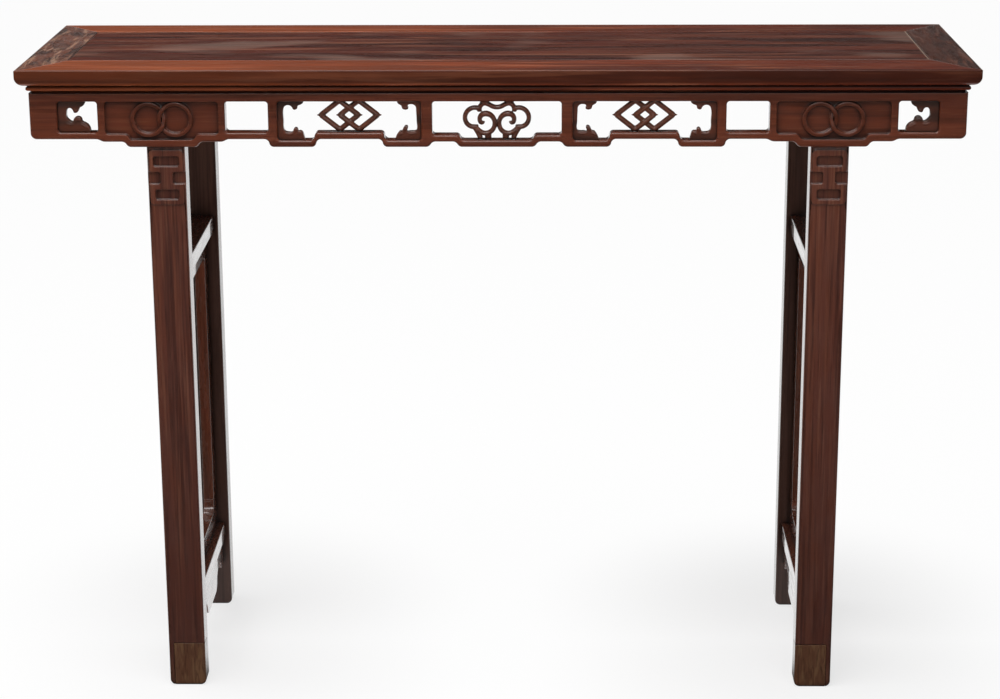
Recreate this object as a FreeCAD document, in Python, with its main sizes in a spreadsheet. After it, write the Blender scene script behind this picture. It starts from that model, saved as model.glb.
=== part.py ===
import FreeCAD, Part
import math
import os
import Sketcher

# Chinese altar table: a long, shallow, free-standing hardwood table.
# A mitred frame-and-panel top with a moulded edge sits on four recessed legs.
# An openwork apron runs under each long side, an end apron under each short side.
# Each pair of legs is tied by two stretchers with a liner frame between them
# and a carved apron below.
# Frame of reference: X along the table, Y across it, Z up, origin on the floor
# under the middle of the top. The front is at -Y. All sizes are in millimetres.

SIZES = {
    # overall
    "top_length": 1250.0,
    "top_depth": 370.0,
    "table_height": 870.0,
    "joint_clearance": 0.15,
    "overrun": 5.0,
    # top frame and its moulded edge
    "frame_thickness": 32.5,
    "front_rail_width": 78.0,
    "back_rail_width": 60.0,
    "end_rail_width": 56.0,
    "arris_radius": 1.5,
    "lip_height": 9.5,
    "ovolo_radius": 12.5,
    "bead_step": 1.5,
    "bead_gap": 1.0,
    "bead_height": 6.0,
    "bead_radius": 3.2,
    "shadow_recess": 4.5,
    "mitre_square": 16.0,
    "frame_tenon_setback": 26.0,
    "frame_tenon_width": 24.0,
    "frame_tenon_thickness": 8.0,
    "frame_tenon_rise": 9.0,
    "frame_tenon_stop": 18.0,
    # floating panel and its battens
    "panel_thickness": 12.0,
    "panel_drop": 0.4,
    "panel_gap": 0.6,
    "tongue_thickness": 6.0,
    "tongue_length": 8.0,
    "tongue_clearance": 0.3,
    "batten_width": 36.0,
    "batten_rise": 1.0,
    "batten_spacing": 380.0,
    "batten_tenon_length": 10.0,
    "batten_tenon_width": 20.0,
    "batten_tenon_height": 10.0,
    "dovetail_root": 18.0,
    "dovetail_flare": 4.0,
    "dovetail_height": 3.5,
    # legs
    "leg_spread": 869.5,
    "leg_width": 50.0,
    "leg_depth": 34.0,
    "leg_setback": 5.0,
    "leg_edge_radius": 2.5,
    "foot_radius": 8.0,
    "leg_tenon_width": 30.0,
    "leg_tenon_thickness": 12.0,
    "leg_tenon_height": 16.0,
    "patch_width": 42.9,
    "patch_height": 62.7,
    "patch_depth": 20.0,
    # carved block on the leg's face
    "block_top_gap": 4.0,
    "block_height": 74.0,
    "block_relief": 1.4,
    "block_corner": 5.0,
    "fret_depth": 3.6,
    "fret_corner": 3.0,
    "fret_top_drop": 9.0,
    "fret_bar_height": 13.5,
    "fret_bar_half": 17.0,
    "fret_notch_drop": 30.0,
    "fret_notch_height": 16.0,
    "fret_notch_width": 14.5,
    "fret_low_drop": 53.5,
    "fret_low_half": 15.5,
    # openwork apron
    "apron_inset": 14.5,
    "apron_thickness": 20.0,
    "apron_deep": 71.6,
    "apron_mid": 64.6,
    "apron_high": 61.2,
    "apron_corner": 8.0,
    "apron_edge_round": 2.8,
    "apron_tongue_thickness": 6.0,
    "apron_tongue_height": 5.0,
    "apron_tongue_setback": 7.0,
    "top_rail_height": 11.4,
    "low_rail_height": 9.1,
    "ramp_run": 12.5,
    "ramp_inset": 3.0,
    "bay_corner": 4.0,
    "centre_bay_half": 84.2,
    "centre_post": 14.8,
    "centre_post_lead": 3.9,
    "cloud_drop_half": 45.3,
    "lozenge_bay_width": 187.4,
    "lozenge_rise_half": 37.3,
    "inner_post": 12.4,
    "inner_post_lead": 7.1,
    "slot_width": 55.9,
    "slot_lead": 5.4,
    "outer_post": 9.0,
    "ring_panel_width": 148.3,
    "ring_drop_half": 41.2,
    "end_post": 9.8,
    "end_post_lead": 0.8,
    "end_bay_width": 52.2,
    "ring_recess": 5.0,
    "ring_low_rail": 10.0,
    "ring_relief": 4.4,
    "ring_outer_radius": 23.2,
    "ring_strap": 5.2,
    "ring_spacing": 35.2,
    # pieces let into the openings of the apron
    "insert_setback": 4.0,
    "insert_thickness": 9.0,
    "insert_tab_length": 3.0,
    "insert_tab_thickness": 4.0,
    "insert_tab_width": 10.0,
    "lozenge_half_length": 30.5,
    "lozenge_strap": 11.6,
    "lozenge_offset": 12.5,
    "scroll_ledge": 7.0,
    "scroll_lug": 6.0,
    "bay_scroll_reach": 26.0,
    "bay_scroll_arm": 6.0,
    "bay_hook_reach": 14.5,
    "bay_hook_drop": 9.3,
    "end_scroll_reach": 29.0,
    "end_scroll_arm": 7.4,
    "end_hook_reach": 13.2,
    "end_hook_drop": 12.2,
    "hook_radius": 3.4,
    # cloud ornament
    "lobe_radius": 12.0,
    "lobe_strap": 6.3,
    "lobe_x": 30.5,
    "lobe_rise": 25.3,
    "scroll_radius": 13.3,
    "scroll_strap": 7.0,
    "scroll_x": 16.2,
    "scroll_rise": 16.0,
    "hook_bend": 5.0,
    "hook_strap": 6.6,
    "hook_x": 17.9,
    "hook_rise": 23.7,
    "arch_radius": 8.0,
    "arch_strap": 6.0,
    "arch_x": 14.2,
    "arch_rise": 35.9,
    "neck_near": 10.2,
    "neck_far": 22.8,
    "trough_radius": 14.9,
    "trough_strap": 4.6,
    "trough_rise": 53.5,
    # end aprons
    "end_apron_thickness": 18.0,
    "end_apron_height": 59.5,
    "end_apron_rise": 8.0,
    "end_apron_flat_half": 70.0,
    "end_tongue_length": 6.0,
    "end_tongue_thickness": 6.0,
    # side stretchers
    "stretcher_recess": 6.0,
    "stretcher_height": 24.0,
    "upper_stretcher_top": 603.0,
    "lower_stretcher_top": 132.0,
    "stretcher_tenon_length": 20.0,
    "stretcher_tenon_width": 12.0,
    "stretcher_tenon_height": 16.0,
    "stretcher_edge_radius": 2.0,
    # liner frame between legs and stretchers
    "liner_thickness": 15.0,
    "liner_width": 28.0,
    "liner_top_height": 32.0,
    "liner_low_height": 26.0,
    "liner_corner": 20.0,
    "liner_top_corner": 5.0,
    "liner_tenon_length": 8.0,
    "liner_tenon_width": 14.0,
    "liner_tenon_thickness": 5.0,
    # carved apron below the lower stretcher
    "side_apron_thickness": 30.0,
    "side_apron_end_drop": 40.0,
    "side_apron_end_run": 32.0,
    "side_apron_notch_drop": 27.0,
    "side_apron_notch_run": 62.0,
    "side_apron_centre_drop": 52.0,
    "side_apron_lobe": 8.0,
    "side_apron_lobe_run": 32.0,
    "side_apron_tongue_thickness": 8.0,
    "side_apron_tongue_height": 5.0,
}

# Angles, in degrees, through which the straps of the cloud ornament run.
LOBE_ANGLES = (62.0, 180.0, 292.0)
SCROLL_ANGLES = (-152.0, -60.0, 30.0, 116.0)
HOOK_ANGLES = (108.0, 195.0, 285.0)
ARCH_ANGLES = (38.0, 115.0, 200.0)
TROUGH_ANGLES = (236.0, 270.0, 304.0)
# Shares: slope of a lozenge's side, height where a hook's tail leaves it, and how much
# wider than half its chord a round end is drawn.
LOZENGE_SLOPE_SHARE = 0.80
HOOK_SHARE = 0.75
HALF_ROUND_SHARE = 1.02
# Two plain lengths closer than this are the same for drawing purposes.
SAME_PLACE = 1e-4
BATTEN_COUNT = 3
SHEET = "Sizes"


class Size:
    """A length in mm together with the spreadsheet formula that it follows."""

    def __init__(self, value, formula):
        self.value = float(value)
        self.formula = formula

    def __add__(self, other):
        return Size(self.value + number(other), f"({self.formula} + {text(other)})")

    def __sub__(self, other):
        return Size(self.value - number(other), f"({self.formula} - {text(other)})")

    def __mul__(self, other):
        return Size(self.value * number(other), f"({self.formula} * {text(other)})")

    def __truediv__(self, other):
        return Size(self.value / number(other), f"({self.formula} / {text(other)})")

    def __neg__(self):
        return Size(-self.value, f"(0 - {self.formula})")

    __rmul__ = __mul__


def number(item):
    """The plain value of a Size or a number."""
    return item.value if isinstance(item, Size) else float(item)


def text(item):
    """The formula of a Size, or a number as text."""
    return item.formula if isinstance(item, Size) else repr(float(item))


doc = FreeCAD.newDocument("altar_table")
sheet = doc.addObject("Spreadsheet::Sheet", SHEET)
for row, (alias, length) in enumerate(SIZES.items(), start=1):
    sheet.set(f"A{row}", alias)
    sheet.set(f"B{row}", repr(length))
    sheet.setAlias(f"B{row}", alias)
doc.recompute()

S = {alias: Size(length, f"{SHEET}.{alias}") for alias, length in SIZES.items()}
ZERO = Size(0, "0")
CLEAR = S["joint_clearance"]
OVER = S["overrun"]


# Bodies, sketches and features

def new_body(label):
    """A PartDesign body with its own label."""
    body = doc.addObject("PartDesign::Body", label)
    body.Label = label
    return body


def new_sketch(body, role, name, lift=ZERO):
    """A sketch on one of the body's origin planes, lifted along its normal."""
    plane = next(item for item in body.Origin.OriginFeatures if item.Role == role)
    sketch = body.newObject("Sketcher::SketchObject", name)
    sketch.AttachmentSupport = [(plane, "")]
    sketch.MapMode = "FlatFace"
    if lift.value:
        sketch.AttachmentOffset = FreeCAD.Placement(FreeCAD.Vector(0, 0, lift.value), FreeCAD.Rotation())
        sketch.setExpression("AttachmentOffset.Base.z", lift.formula)
    return sketch


def bend_arc(start, end, radius, left):
    """The minor arc from start to end that turns to the left or to the right."""
    chord = end - start
    half = chord.Length / 2
    reach = math.sqrt(max(radius * radius - half * half, 0.0))
    across = FreeCAD.Vector(-chord.y, chord.x, 0).normalize() * (reach if left else -reach)
    centre = (start + end) * 0.5 + across
    first = math.atan2(start.y - centre.y, start.x - centre.x)
    last = math.atan2(end.y - centre.y, end.x - centre.x)
    circle = Part.Circle(centre, FreeCAD.Vector(0, 0, 1), radius)
    return Part.ArcOfCircle(circle, first, last) if left else Part.ArcOfCircle(circle, last, first)


def constrain(sketch, rules):
    """Add (constraint, formula) pairs in one go and tie each value to its formula."""
    first = sketch.ConstraintCount
    sketch.addConstraint([rule for rule, _ in rules])
    for index, (_, formula) in enumerate(rules, start=first):
        if formula:
            sketch.setExpression(f"Constraints[{index}]", formula)


def pin(index, end, x, y):
    """The two rules that hold one end of an edge at a place."""
    return [
        (Sketcher.Constraint("DistanceX", -1, 1, index, end, x.value), x.formula),
        (Sketcher.Constraint("DistanceY", -1, 1, index, end, y.value), y.formula),
    ]


def draw(sketch, outline):
    """Draw a closed outline in a sketch.

    Each entry is (x, y) for a point with a straight line to the next one,
    or (x, y, radius, "left" or "right") where an arc leads to the next one.
    """
    spots = [FreeCAD.Vector(entry[0].value, entry[1].value, 0) for entry in outline]
    base = sketch.GeometryCount
    shapes = []
    ends = []
    rules = []
    for position, entry in enumerate(outline):
        start = spots[position]
        end = spots[(position + 1) % len(spots)]
        index = base + position
        if len(entry) == 2:
            shapes.append(Part.LineSegment(start, end))
            ends.append((index, 1, 2))
            continue
        left = entry[3] == "left"
        shapes.append(bend_arc(start, end, entry[2].value, left))
        ends.append((index, 1, 2) if left else (index, 2, 1))
        rules.append((Sketcher.Constraint("Radius", index, entry[2].value), entry[2].formula))
    for position, (index, first, last) in enumerate(ends):
        following = ends[(position + 1) % len(ends)]
        rules.append((Sketcher.Constraint("Coincident", index, last, following[0], following[1]), ""))
        rules += pin(index, first, outline[position][0], outline[position][1])
    sketch.addGeometry(shapes, False)
    constrain(sketch, rules)


def draw_circle(sketch, x, y, radius):
    """Draw a full circle in a sketch."""
    circle = Part.Circle(FreeCAD.Vector(x.value, y.value, 0), FreeCAD.Vector(0, 0, 1), radius.value)
    index = sketch.addGeometry(circle, False)
    rules = [(Sketcher.Constraint("Radius", index, radius.value), radius.formula)]
    constrain(sketch, rules + pin(index, 3, x, y))


def extrude(body, kind, sketch, length, reverse=False, both=False):
    """Pad or pocket a sketch by a length."""
    feature = body.newObject(f"PartDesign::{kind}", f"{kind.lower()}_{sketch.Name}")
    feature.Profile = sketch
    feature.Length = length.value
    feature.setExpression("Length", length.formula)
    feature.Reversed = reverse
    if both:
        feature.SideType = "Symmetric"
    sketch.Visibility = False
    return feature


def pad(body, sketch, length, reverse=False, both=False):
    """Add material along the sketch's normal."""
    return extrude(body, "Pad", sketch, length, reverse, both)


def pocket(body, sketch, length, reverse=False, both=False):
    """Cut material against the sketch's normal, or along it when reversed."""
    return extrude(body, "Pocket", sketch, length, reverse, both)


def mirror(body, features):
    """Repeat features on the other side of the plane x = 0."""
    plane = next(item for item in body.Origin.OriginFeatures if item.Role == "YZ_Plane")
    copy = body.newObject("PartDesign::Mirrored", f"mirror_{features[0].Name}")
    copy.Originals = features
    copy.MirrorPlane = (plane, [""])
    body.Tip = copy
    return copy


def box_outline(x0, y0, x1, y1):
    """A rectangle from its two corners."""
    return [(x0, y0), (x1, y0), (x1, y1), (x0, y1)]


def round_box(x0, y0, x1, y1, radius):
    """A rectangle from its lower left and upper right corners, with round corners."""
    return [
        (x0 + radius, y0), (x1 - radius, y0, radius, "left"),
        (x1, y0 + radius), (x1, y1 - radius, radius, "left"),
        (x1 - radius, y1), (x0 + radius, y1, radius, "left"),
        (x0, y1 - radius), (x0, y0 + radius, radius, "left"),
    ]


def ramp(x0, y0, x1, y1, first):
    """The first two arcs of a soft step between two levels, as outline entries.

    It starts level at the first point and ends level just before the second one.
    The word says to which side the first arc turns.
    """
    run = x1 - x0
    rise = y1 - y0
    length = abs(rise.value)
    radius = Size(
        (run.value * run.value + rise.value * rise.value) / (4 * length),
        f"(({run.formula} * {run.formula} + {rise.formula} * {rise.formula}) / (4 * abs({rise.formula})))",
    )
    second = "right" if first == "left" else "left"
    middle = (x0 + run / 2, y0 + rise / 2, radius, second)
    return [(x0, y0, radius, first), middle]


def mirror_x(outline):
    """An outline seen in a mirror standing at x = 0, still drawn the same way round."""
    count = len(outline)
    turned = []
    for step in range(count):
        entry = outline[(count - step) % count]
        before = outline[(count - step - 1) % count]
        point = (-entry[0], entry[1])
        turned.append(point if len(before) == 2 else (*point, before[2], before[3]))
    return turned


def shift(outline, dx, dy=ZERO):
    """An outline moved sideways and up."""
    return [(entry[0] + dx, entry[1] + dy, *entry[2:]) for entry in outline]


def dress(body, kind, feature, edges, size):
    """Fillet or chamfer the named edges of a feature."""
    finish = body.newObject(f"PartDesign::{kind}", f"{kind.lower()}_{feature.Name}")
    finish.Base = (feature, edges)
    key = "Radius" if kind == "Fillet" else "Size"
    setattr(finish, key, size.value)
    finish.setExpression(key, size.formula)
    return finish


def edges_where(feature, test):
    """Names of a feature's edges whose two ends pass a test."""
    names = []
    for index, edge in enumerate(feature.Shape.Edges, start=1):
        ends = [vertex.Point for vertex in edge.Vertexes]
        if len(ends) == 2 and test(ends[0], ends[1]):
            names.append(f"Edge{index}")
    return names


def near(a, b):
    """True where two plain lengths are the same."""
    return abs(a - b) < SAME_PLACE


def place(body, x=ZERO, y=ZERO, z=ZERO, turn=0):
    """Put a body at a place worked out from the sheet, turned about Z by some degrees."""
    spot = FreeCAD.Vector(x.value, y.value, z.value)
    body.Placement = FreeCAD.Placement(spot, FreeCAD.Rotation(FreeCAD.Vector(0, 0, 1), turn))
    for axis, size in (("x", x), ("y", y), ("z", z)):
        if size.formula != "0":
            body.setExpression(f"Placement.Base.{axis}", size.formula)
    return body


# Places shared by several pieces

HALF_LENGTH = S["top_length"] / 2
HALF_DEPTH = S["top_depth"] / 2
FRAME_UNDER = S["table_height"] - S["frame_thickness"]
PANEL_UNDER = S["frame_thickness"] - S["panel_drop"] - S["panel_thickness"]
PANEL_WIDTH = S["top_depth"] - S["front_rail_width"] - S["back_rail_width"]
PANEL_Y = (S["front_rail_width"] - S["back_rail_width"]) / 2
PANEL_LENGTH = S["top_length"] - S["end_rail_width"] * 2
APRON_HALF = HALF_LENGTH - S["apron_inset"]
APRON_FRONT = HALF_DEPTH - S["apron_inset"]
APRON_BACK = APRON_FRONT - S["apron_thickness"]
LEG_FRONT = APRON_FRONT - S["leg_setback"]
LEG_BACK = LEG_FRONT - S["leg_depth"]
LEG_X = S["leg_spread"] / 2
APRON_SEAT = S["apron_thickness"] - S["leg_setback"]
SHOULDER_Z = FRAME_UNDER - S["apron_deep"]
UPPER_STRETCHER_UNDER = S["upper_stretcher_top"] - S["stretcher_height"]
LOWER_STRETCHER_UNDER = S["lower_stretcher_top"] - S["stretcher_height"]
BATTEN_X = [S["batten_spacing"] * (index - (BATTEN_COUNT - 1) / 2) for index in range(BATTEN_COUNT)]


# Top frame: local x runs along the rail, local y runs inwards from its outer arris

def rail_section(width):
    """Cross-section of a top rail in local (y, z), with moulding and panel groove."""
    thick = S["frame_thickness"]
    arris = S["arris_radius"]
    lip = thick - S["lip_height"]
    ovolo_foot = lip - S["ovolo_radius"]
    bead_x = S["ovolo_radius"] + S["bead_step"]
    bead_top = ovolo_foot - S["bead_gap"]
    bead_foot = bead_top - S["bead_height"]
    strip_x = bead_x + S["shadow_recess"]
    groove_low = PANEL_UNDER - CLEAR
    groove_high = PANEL_UNDER + S["tongue_thickness"] + CLEAR
    groove_back = width - S["tongue_length"] - S["tongue_clearance"]
    return [
        (width, ZERO), (width, groove_low), (groove_back, groove_low),
        (groove_back, groove_high), (width, groove_high), (width, thick),
        (arris, thick, arris, "left"), (ZERO, thick - arris),
        (ZERO, lip, S["ovolo_radius"], "left"), (S["ovolo_radius"], ovolo_foot),
        (bead_x, ovolo_foot), (bead_x, bead_top, S["bead_radius"], "left"),
        (bead_x, bead_foot), (strip_x, bead_foot), (strip_x, ZERO),
    ]


def mitre_outline(width, other_width):
    """Ground plan of what the mitre takes off the rail's +x end."""
    square = S["mitre_square"]
    return [
        (OVER, -OVER), (OVER, width + OVER), (-other_width, width + OVER),
        (-other_width, width), (-square, square),
    ]


def rail_blank(label, length, width, width_plus, width_minus):
    """A moulded, grooved and mitred rail without its joints."""
    body = new_body(label)
    section = new_sketch(body, "YZ_Plane", f"{label}_section")
    draw(section, rail_section(width))
    pad(body, section, length, both=True)
    for side, other in (("plus", width_plus), ("minus", width_minus)):
        plan = new_sketch(body, "XY_Plane", f"{label}_mitre_{side}")
        outline = shift(mitre_outline(width, other), length / 2)
        draw(plan, outline if side == "plus" else mirror_x(outline))
        pocket(body, plan, (S["frame_thickness"] + OVER) * 2, both=True)
    return body


def long_rail(label, width):
    """A front or back rail with a tenon at each mitre and mortises for legs and battens."""
    end = S["end_rail_width"]
    body = rail_blank(label, S["top_length"], width, end, end)
    near_side = S["frame_tenon_setback"]
    far_side = near_side + S["frame_tenon_width"]
    root = HALF_LENGTH - end - OVER
    tip = HALF_LENGTH - S["frame_tenon_stop"]
    for side in ("plus", "minus"):
        plan = new_sketch(body, "XY_Plane", f"{label}_tenon_{side}", S["frame_tenon_rise"])
        outline = box_outline(root, near_side, tip, far_side)
        draw(plan, outline if side == "plus" else mirror_x(outline))
        pad(body, plan, S["frame_tenon_thickness"])
    seat = S["apron_inset"] + S["apron_tongue_setback"]
    groove = new_sketch(body, "XY_Plane", f"{label}_apron_groove")
    reach = APRON_HALF - S["end_apron_thickness"] + CLEAR
    draw(groove, box_outline(-reach, seat - CLEAR, reach, seat + S["apron_tongue_thickness"] + CLEAR))
    pocket(body, groove, S["apron_tongue_height"] + CLEAR, reverse=True)
    tenon_near = leg_tenon_near() + HALF_DEPTH - LEG_FRONT
    half = S["leg_tenon_width"] / 2
    mortise = new_sketch(body, "XY_Plane", f"{label}_leg_mortises")
    for centre in (LEG_X, -LEG_X):
        draw(mortise, box_outline(
            centre - half - CLEAR, tenon_near - CLEAR,
            centre + half + CLEAR, tenon_near + S["leg_tenon_thickness"] + CLEAR))
    pocket(body, mortise, S["leg_tenon_height"] + CLEAR, reverse=True)
    for index, centre in enumerate(BATTEN_X):
        slot = new_sketch(body, "XY_Plane", f"{label}_batten_mortise_{index}", batten_tenon_under() - CLEAR)
        grow = S["batten_tenon_width"] / 2 + CLEAR
        depth = width - S["batten_tenon_length"] - CLEAR
        draw(slot, box_outline(centre - grow, depth, centre + grow, width + OVER))
        pocket(body, slot, S["batten_tenon_height"] + CLEAR * 2, reverse=True)
    return body


def leg_tenon_near():
    """Distance from the leg's front face to its top tenon."""
    behind = S["leg_depth"] - APRON_SEAT
    return APRON_SEAT + (behind - S["leg_tenon_thickness"]) / 2


def batten_tenon_under():
    """Height of the batten tenon's underside above the frame's underside."""
    return (PANEL_UNDER + S["batten_rise"] - S["batten_tenon_height"]) / 2


def end_rail(label, width_plus, width_minus):
    """A short rail of the top with a mortise behind each mitre."""
    width = S["end_rail_width"]
    body = rail_blank(label, S["top_depth"], width, width_plus, width_minus)
    near_side = S["frame_tenon_setback"] - CLEAR
    far_side = S["frame_tenon_setback"] + S["frame_tenon_width"] + CLEAR
    mortise = new_sketch(body, "XY_Plane", f"{label}_mortises", S["frame_tenon_rise"] - CLEAR)
    outline = box_outline(
        HALF_DEPTH - far_side, S["frame_tenon_stop"] - CLEAR, HALF_DEPTH - near_side, width + OVER)
    draw(mortise, outline)
    draw(mortise, mirror_x(outline))
    pocket(body, mortise, S["frame_tenon_thickness"] + CLEAR * 2, reverse=True)
    seat = S["apron_inset"] + S["apron_tongue_setback"]
    groove = new_sketch(body, "XY_Plane", f"{label}_apron_groove")
    reach = APRON_BACK - S["end_tongue_length"] + CLEAR
    draw(groove, box_outline(-reach, seat - CLEAR, reach, seat + S["apron_tongue_thickness"] + CLEAR))
    pocket(body, groove, S["apron_tongue_height"] + CLEAR, reverse=True)
    return body


def top_panel():
    """The floating panel: tongues all round and dovetailed housings underneath."""
    body = new_body("top_panel")
    half_x = PANEL_LENGTH / 2
    half_y = PANEL_WIDTH / 2
    plan = new_sketch(body, "XY_Plane", "panel_field")
    gap = S["panel_gap"]
    draw(plan, box_outline(gap - half_x, gap - half_y, half_x - gap, half_y - gap))
    pad(body, plan, S["panel_thickness"])
    tongue = new_sketch(body, "XY_Plane", "panel_tongue")
    reach_x = half_x + S["tongue_length"]
    reach_y = half_y + S["tongue_length"]
    draw(tongue, box_outline(-reach_x, -reach_y, reach_x, reach_y))
    pad(body, tongue, S["tongue_thickness"])
    for index, centre in enumerate(BATTEN_X):
        housing = new_sketch(body, "XZ_Plane", f"panel_housing_{index}")
        draw(housing, dovetail_outline(centre, CLEAR, -OVER))
        pocket(body, housing, PANEL_WIDTH, both=True)
    return place(body, y=PANEL_Y, z=FRAME_UNDER + PANEL_UNDER)


def dovetail_outline(centre, clearance, foot):
    """End view of the batten's dovetail, widened by a clearance, from a foot level up."""
    root = S["dovetail_root"] / 2 + clearance
    crown = root + S["dovetail_flare"]
    height = S["dovetail_height"] + clearance
    lower = [(centre - root, foot), (centre + root, foot)] if foot.value else []
    return lower + [
        (centre + root, ZERO), (centre + crown, height),
        (centre - crown, height), (centre - root, ZERO),
    ]


def panel_batten(index):
    """A transverse batten: a bar with a sliding dovetail on top and a tenon at each end."""
    label = f"panel_batten_{index + 1}"
    body = new_body(label)
    half = S["batten_width"] / 2
    depth = PANEL_UNDER - S["batten_rise"]
    section = new_sketch(body, "XZ_Plane", f"{label}_bar")
    draw(section, box_outline(-half, -depth, half, ZERO))
    pad(body, section, PANEL_WIDTH, both=True)
    ridge = new_sketch(body, "XZ_Plane", f"{label}_ridge")
    draw(ridge, dovetail_outline(ZERO, ZERO, -OVER))
    pad(body, ridge, PANEL_WIDTH - S["tongue_length"], both=True)
    tenon = new_sketch(body, "XY_Plane", f"{label}_tenon", batten_tenon_under() - PANEL_UNDER)
    grow = S["batten_tenon_width"] / 2
    reach = PANEL_WIDTH / 2 + S["batten_tenon_length"]
    draw(tenon, box_outline(-grow, -reach, grow, reach))
    pad(body, tenon, S["batten_tenon_height"])
    return place(body, x=BATTEN_X[index], y=PANEL_Y, z=FRAME_UNDER + PANEL_UNDER)


# Legs: local y = 0 is the face that shows, local z = 0 the floor

def leg(label, x, patch_side):
    """A leg with its apron seat, top tenon, stretcher mortises and carved block."""
    body = new_body(label)
    half = S["leg_width"] / 2
    depth = S["leg_depth"]
    post = new_sketch(body, "XZ_Plane", f"{label}_post")
    foot = S["foot_radius"]
    draw(post, [
        (foot - half, ZERO), (half - foot, ZERO, foot, "left"), (half, foot),
        (half, FRAME_UNDER), (-half, FRAME_UNDER), (-half, foot, foot, "left"),
    ])
    blank = pad(body, post, depth, reverse=True)
    doc.recompute()
    uprights = edges_where(
        blank, lambda a, b: near(a.x, b.x) and near(a.y, b.y) and abs(a.z - b.z) > half.value)
    dress(body, "Fillet", blank, uprights, S["leg_edge_radius"])
    seat = new_sketch(body, "YZ_Plane", f"{label}_seat")
    draw(seat, box_outline(-OVER, SHOULDER_Z, APRON_SEAT, FRAME_UNDER + OVER))
    pocket(body, seat, S["leg_width"] + OVER * 2, both=True)
    tenon = new_sketch(body, "XY_Plane", f"{label}_tenon", FRAME_UNDER - OVER)
    grow = S["leg_tenon_width"] / 2
    draw(tenon, box_outline(-grow, leg_tenon_near(), grow, leg_tenon_near() + S["leg_tenon_thickness"]))
    pad(body, tenon, S["leg_tenon_height"] + OVER)
    mortise = new_sketch(body, "XZ_Plane", f"{label}_mortises", -depth - OVER)
    wide = S["stretcher_tenon_width"] / 2 + CLEAR
    tall = S["stretcher_tenon_height"] / 2 + CLEAR
    for middle in (UPPER_STRETCHER_UNDER, LOWER_STRETCHER_UNDER):
        centre = middle + S["stretcher_height"] / 2
        draw(mortise, box_outline(-wide, centre - tall, wide, centre + tall))
    pocket(body, mortise, S["stretcher_tenon_length"] + CLEAR + OVER, reverse=True)
    carved_block(body, label)
    if patch_side:
        plan = new_sketch(body, "XZ_Plane", f"{label}_patch_housing", OVER)
        inner = half - S["patch_width"] - CLEAR
        outline = box_outline(inner, -OVER, half + OVER, S["patch_height"] + CLEAR)
        draw(plan, outline if patch_side > 0 else mirror_x(outline))
        pocket(body, plan, S["patch_depth"] + CLEAR + OVER)
    front = "front" in label
    return place(body, x=x, y=-LEG_FRONT if front else LEG_FRONT, turn=0 if front else 180)


def carved_block(body, label):
    """A raised block under the apron, with a sunk fret of two bars and two notches."""
    half = S["leg_width"] / 2
    top = SHOULDER_Z - S["block_top_gap"]
    foot = top - S["block_height"]
    corner = S["block_corner"]
    edge = half - S["leg_edge_radius"]
    face = new_sketch(body, "XZ_Plane", f"{label}_block", S["block_relief"])
    draw(face, round_box(-edge, foot, edge, top, corner))
    pad(body, face, S["block_relief"] + S["leg_edge_radius"], reverse=True)
    fret = new_sketch(body, "XZ_Plane", f"{label}_fret", S["block_relief"])
    bar = S["fret_bar_half"]
    low = S["fret_low_half"]
    round_off = S["fret_corner"]
    upper = top - S["fret_top_drop"]
    lower = top - S["fret_low_drop"]
    draw(fret, round_box(-bar, upper - S["fret_bar_height"], bar, upper, round_off))
    draw(fret, round_box(-low, lower - S["fret_bar_height"], low, lower, round_off))
    notch_top = top - S["fret_notch_drop"]
    notch_foot = notch_top - S["fret_notch_height"]
    notch_in = edge - S["fret_notch_width"]
    notch = [
        (notch_in + round_off, notch_foot), (half + OVER, notch_foot), (half + OVER, notch_top),
        (notch_in + round_off, notch_top, round_off, "left"), (notch_in, notch_top - round_off),
        (notch_in, notch_foot + round_off, round_off, "left"),
    ]
    draw(fret, notch)
    draw(fret, mirror_x(notch))
    pocket(body, fret, S["fret_depth"])


def foot_patch(label, side):
    """The block pieced into a front foot's inner corner."""
    body = new_body(label)
    half = S["leg_width"] / 2
    foot = S["foot_radius"]
    inner = half - S["patch_width"]
    front = new_sketch(body, "XZ_Plane", f"{label}_front")
    outline = [
        (inner, ZERO), (half - foot, ZERO, foot, "left"), (half, foot),
        (half, S["patch_height"]), (inner, S["patch_height"]),
    ]
    draw(front, outline if side > 0 else mirror_x(outline))
    block = pad(body, front, S["patch_depth"], reverse=True)
    doc.recompute()
    outer = half.value * side
    corner = edges_where(
        block, lambda a, b: near(a.x, outer) and near(b.x, outer) and near(a.y, 0) and near(b.y, 0))
    dress(body, "Fillet", block, corner, S["leg_edge_radius"])
    return place(body, x=LEG_X * -side, y=-LEG_FRONT)


# Side frames: local y runs between the two legs, local x = 0 is the leg's middle

def stretcher(label, x, top):
    """A stretcher between a front and a back leg, tenoned at both ends."""
    body = new_body(label)
    half = S["leg_width"] / 2 - S["stretcher_recess"]
    section = new_sketch(body, "XZ_Plane", f"{label}_section")
    round_off = S["stretcher_edge_radius"]
    draw(section, round_box(-half, -S["stretcher_height"], half, ZERO, round_off))
    pad(body, section, LEG_BACK * 2, both=True)
    tenon = new_sketch(body, "XZ_Plane", f"{label}_tenon")
    wide = S["stretcher_tenon_width"] / 2
    middle = -S["stretcher_height"] / 2
    tall = S["stretcher_tenon_height"] / 2
    draw(tenon, box_outline(-wide, middle - tall, wide, middle + tall))
    pad(body, tenon, (LEG_BACK + S["stretcher_tenon_length"]) * 2, both=True)
    if label.startswith("lower"):
        groove = new_sketch(body, "XZ_Plane", f"{label}_groove")
        seat = S["side_apron_tongue_thickness"] / 2 + CLEAR
        foot = -S["stretcher_height"]
        draw(groove, box_outline(-seat, foot - OVER, seat, foot + S["side_apron_tongue_height"] + CLEAR))
        pocket(body, groove, LEG_BACK * 2, both=True)
    return place(body, x=x, z=top)


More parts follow.
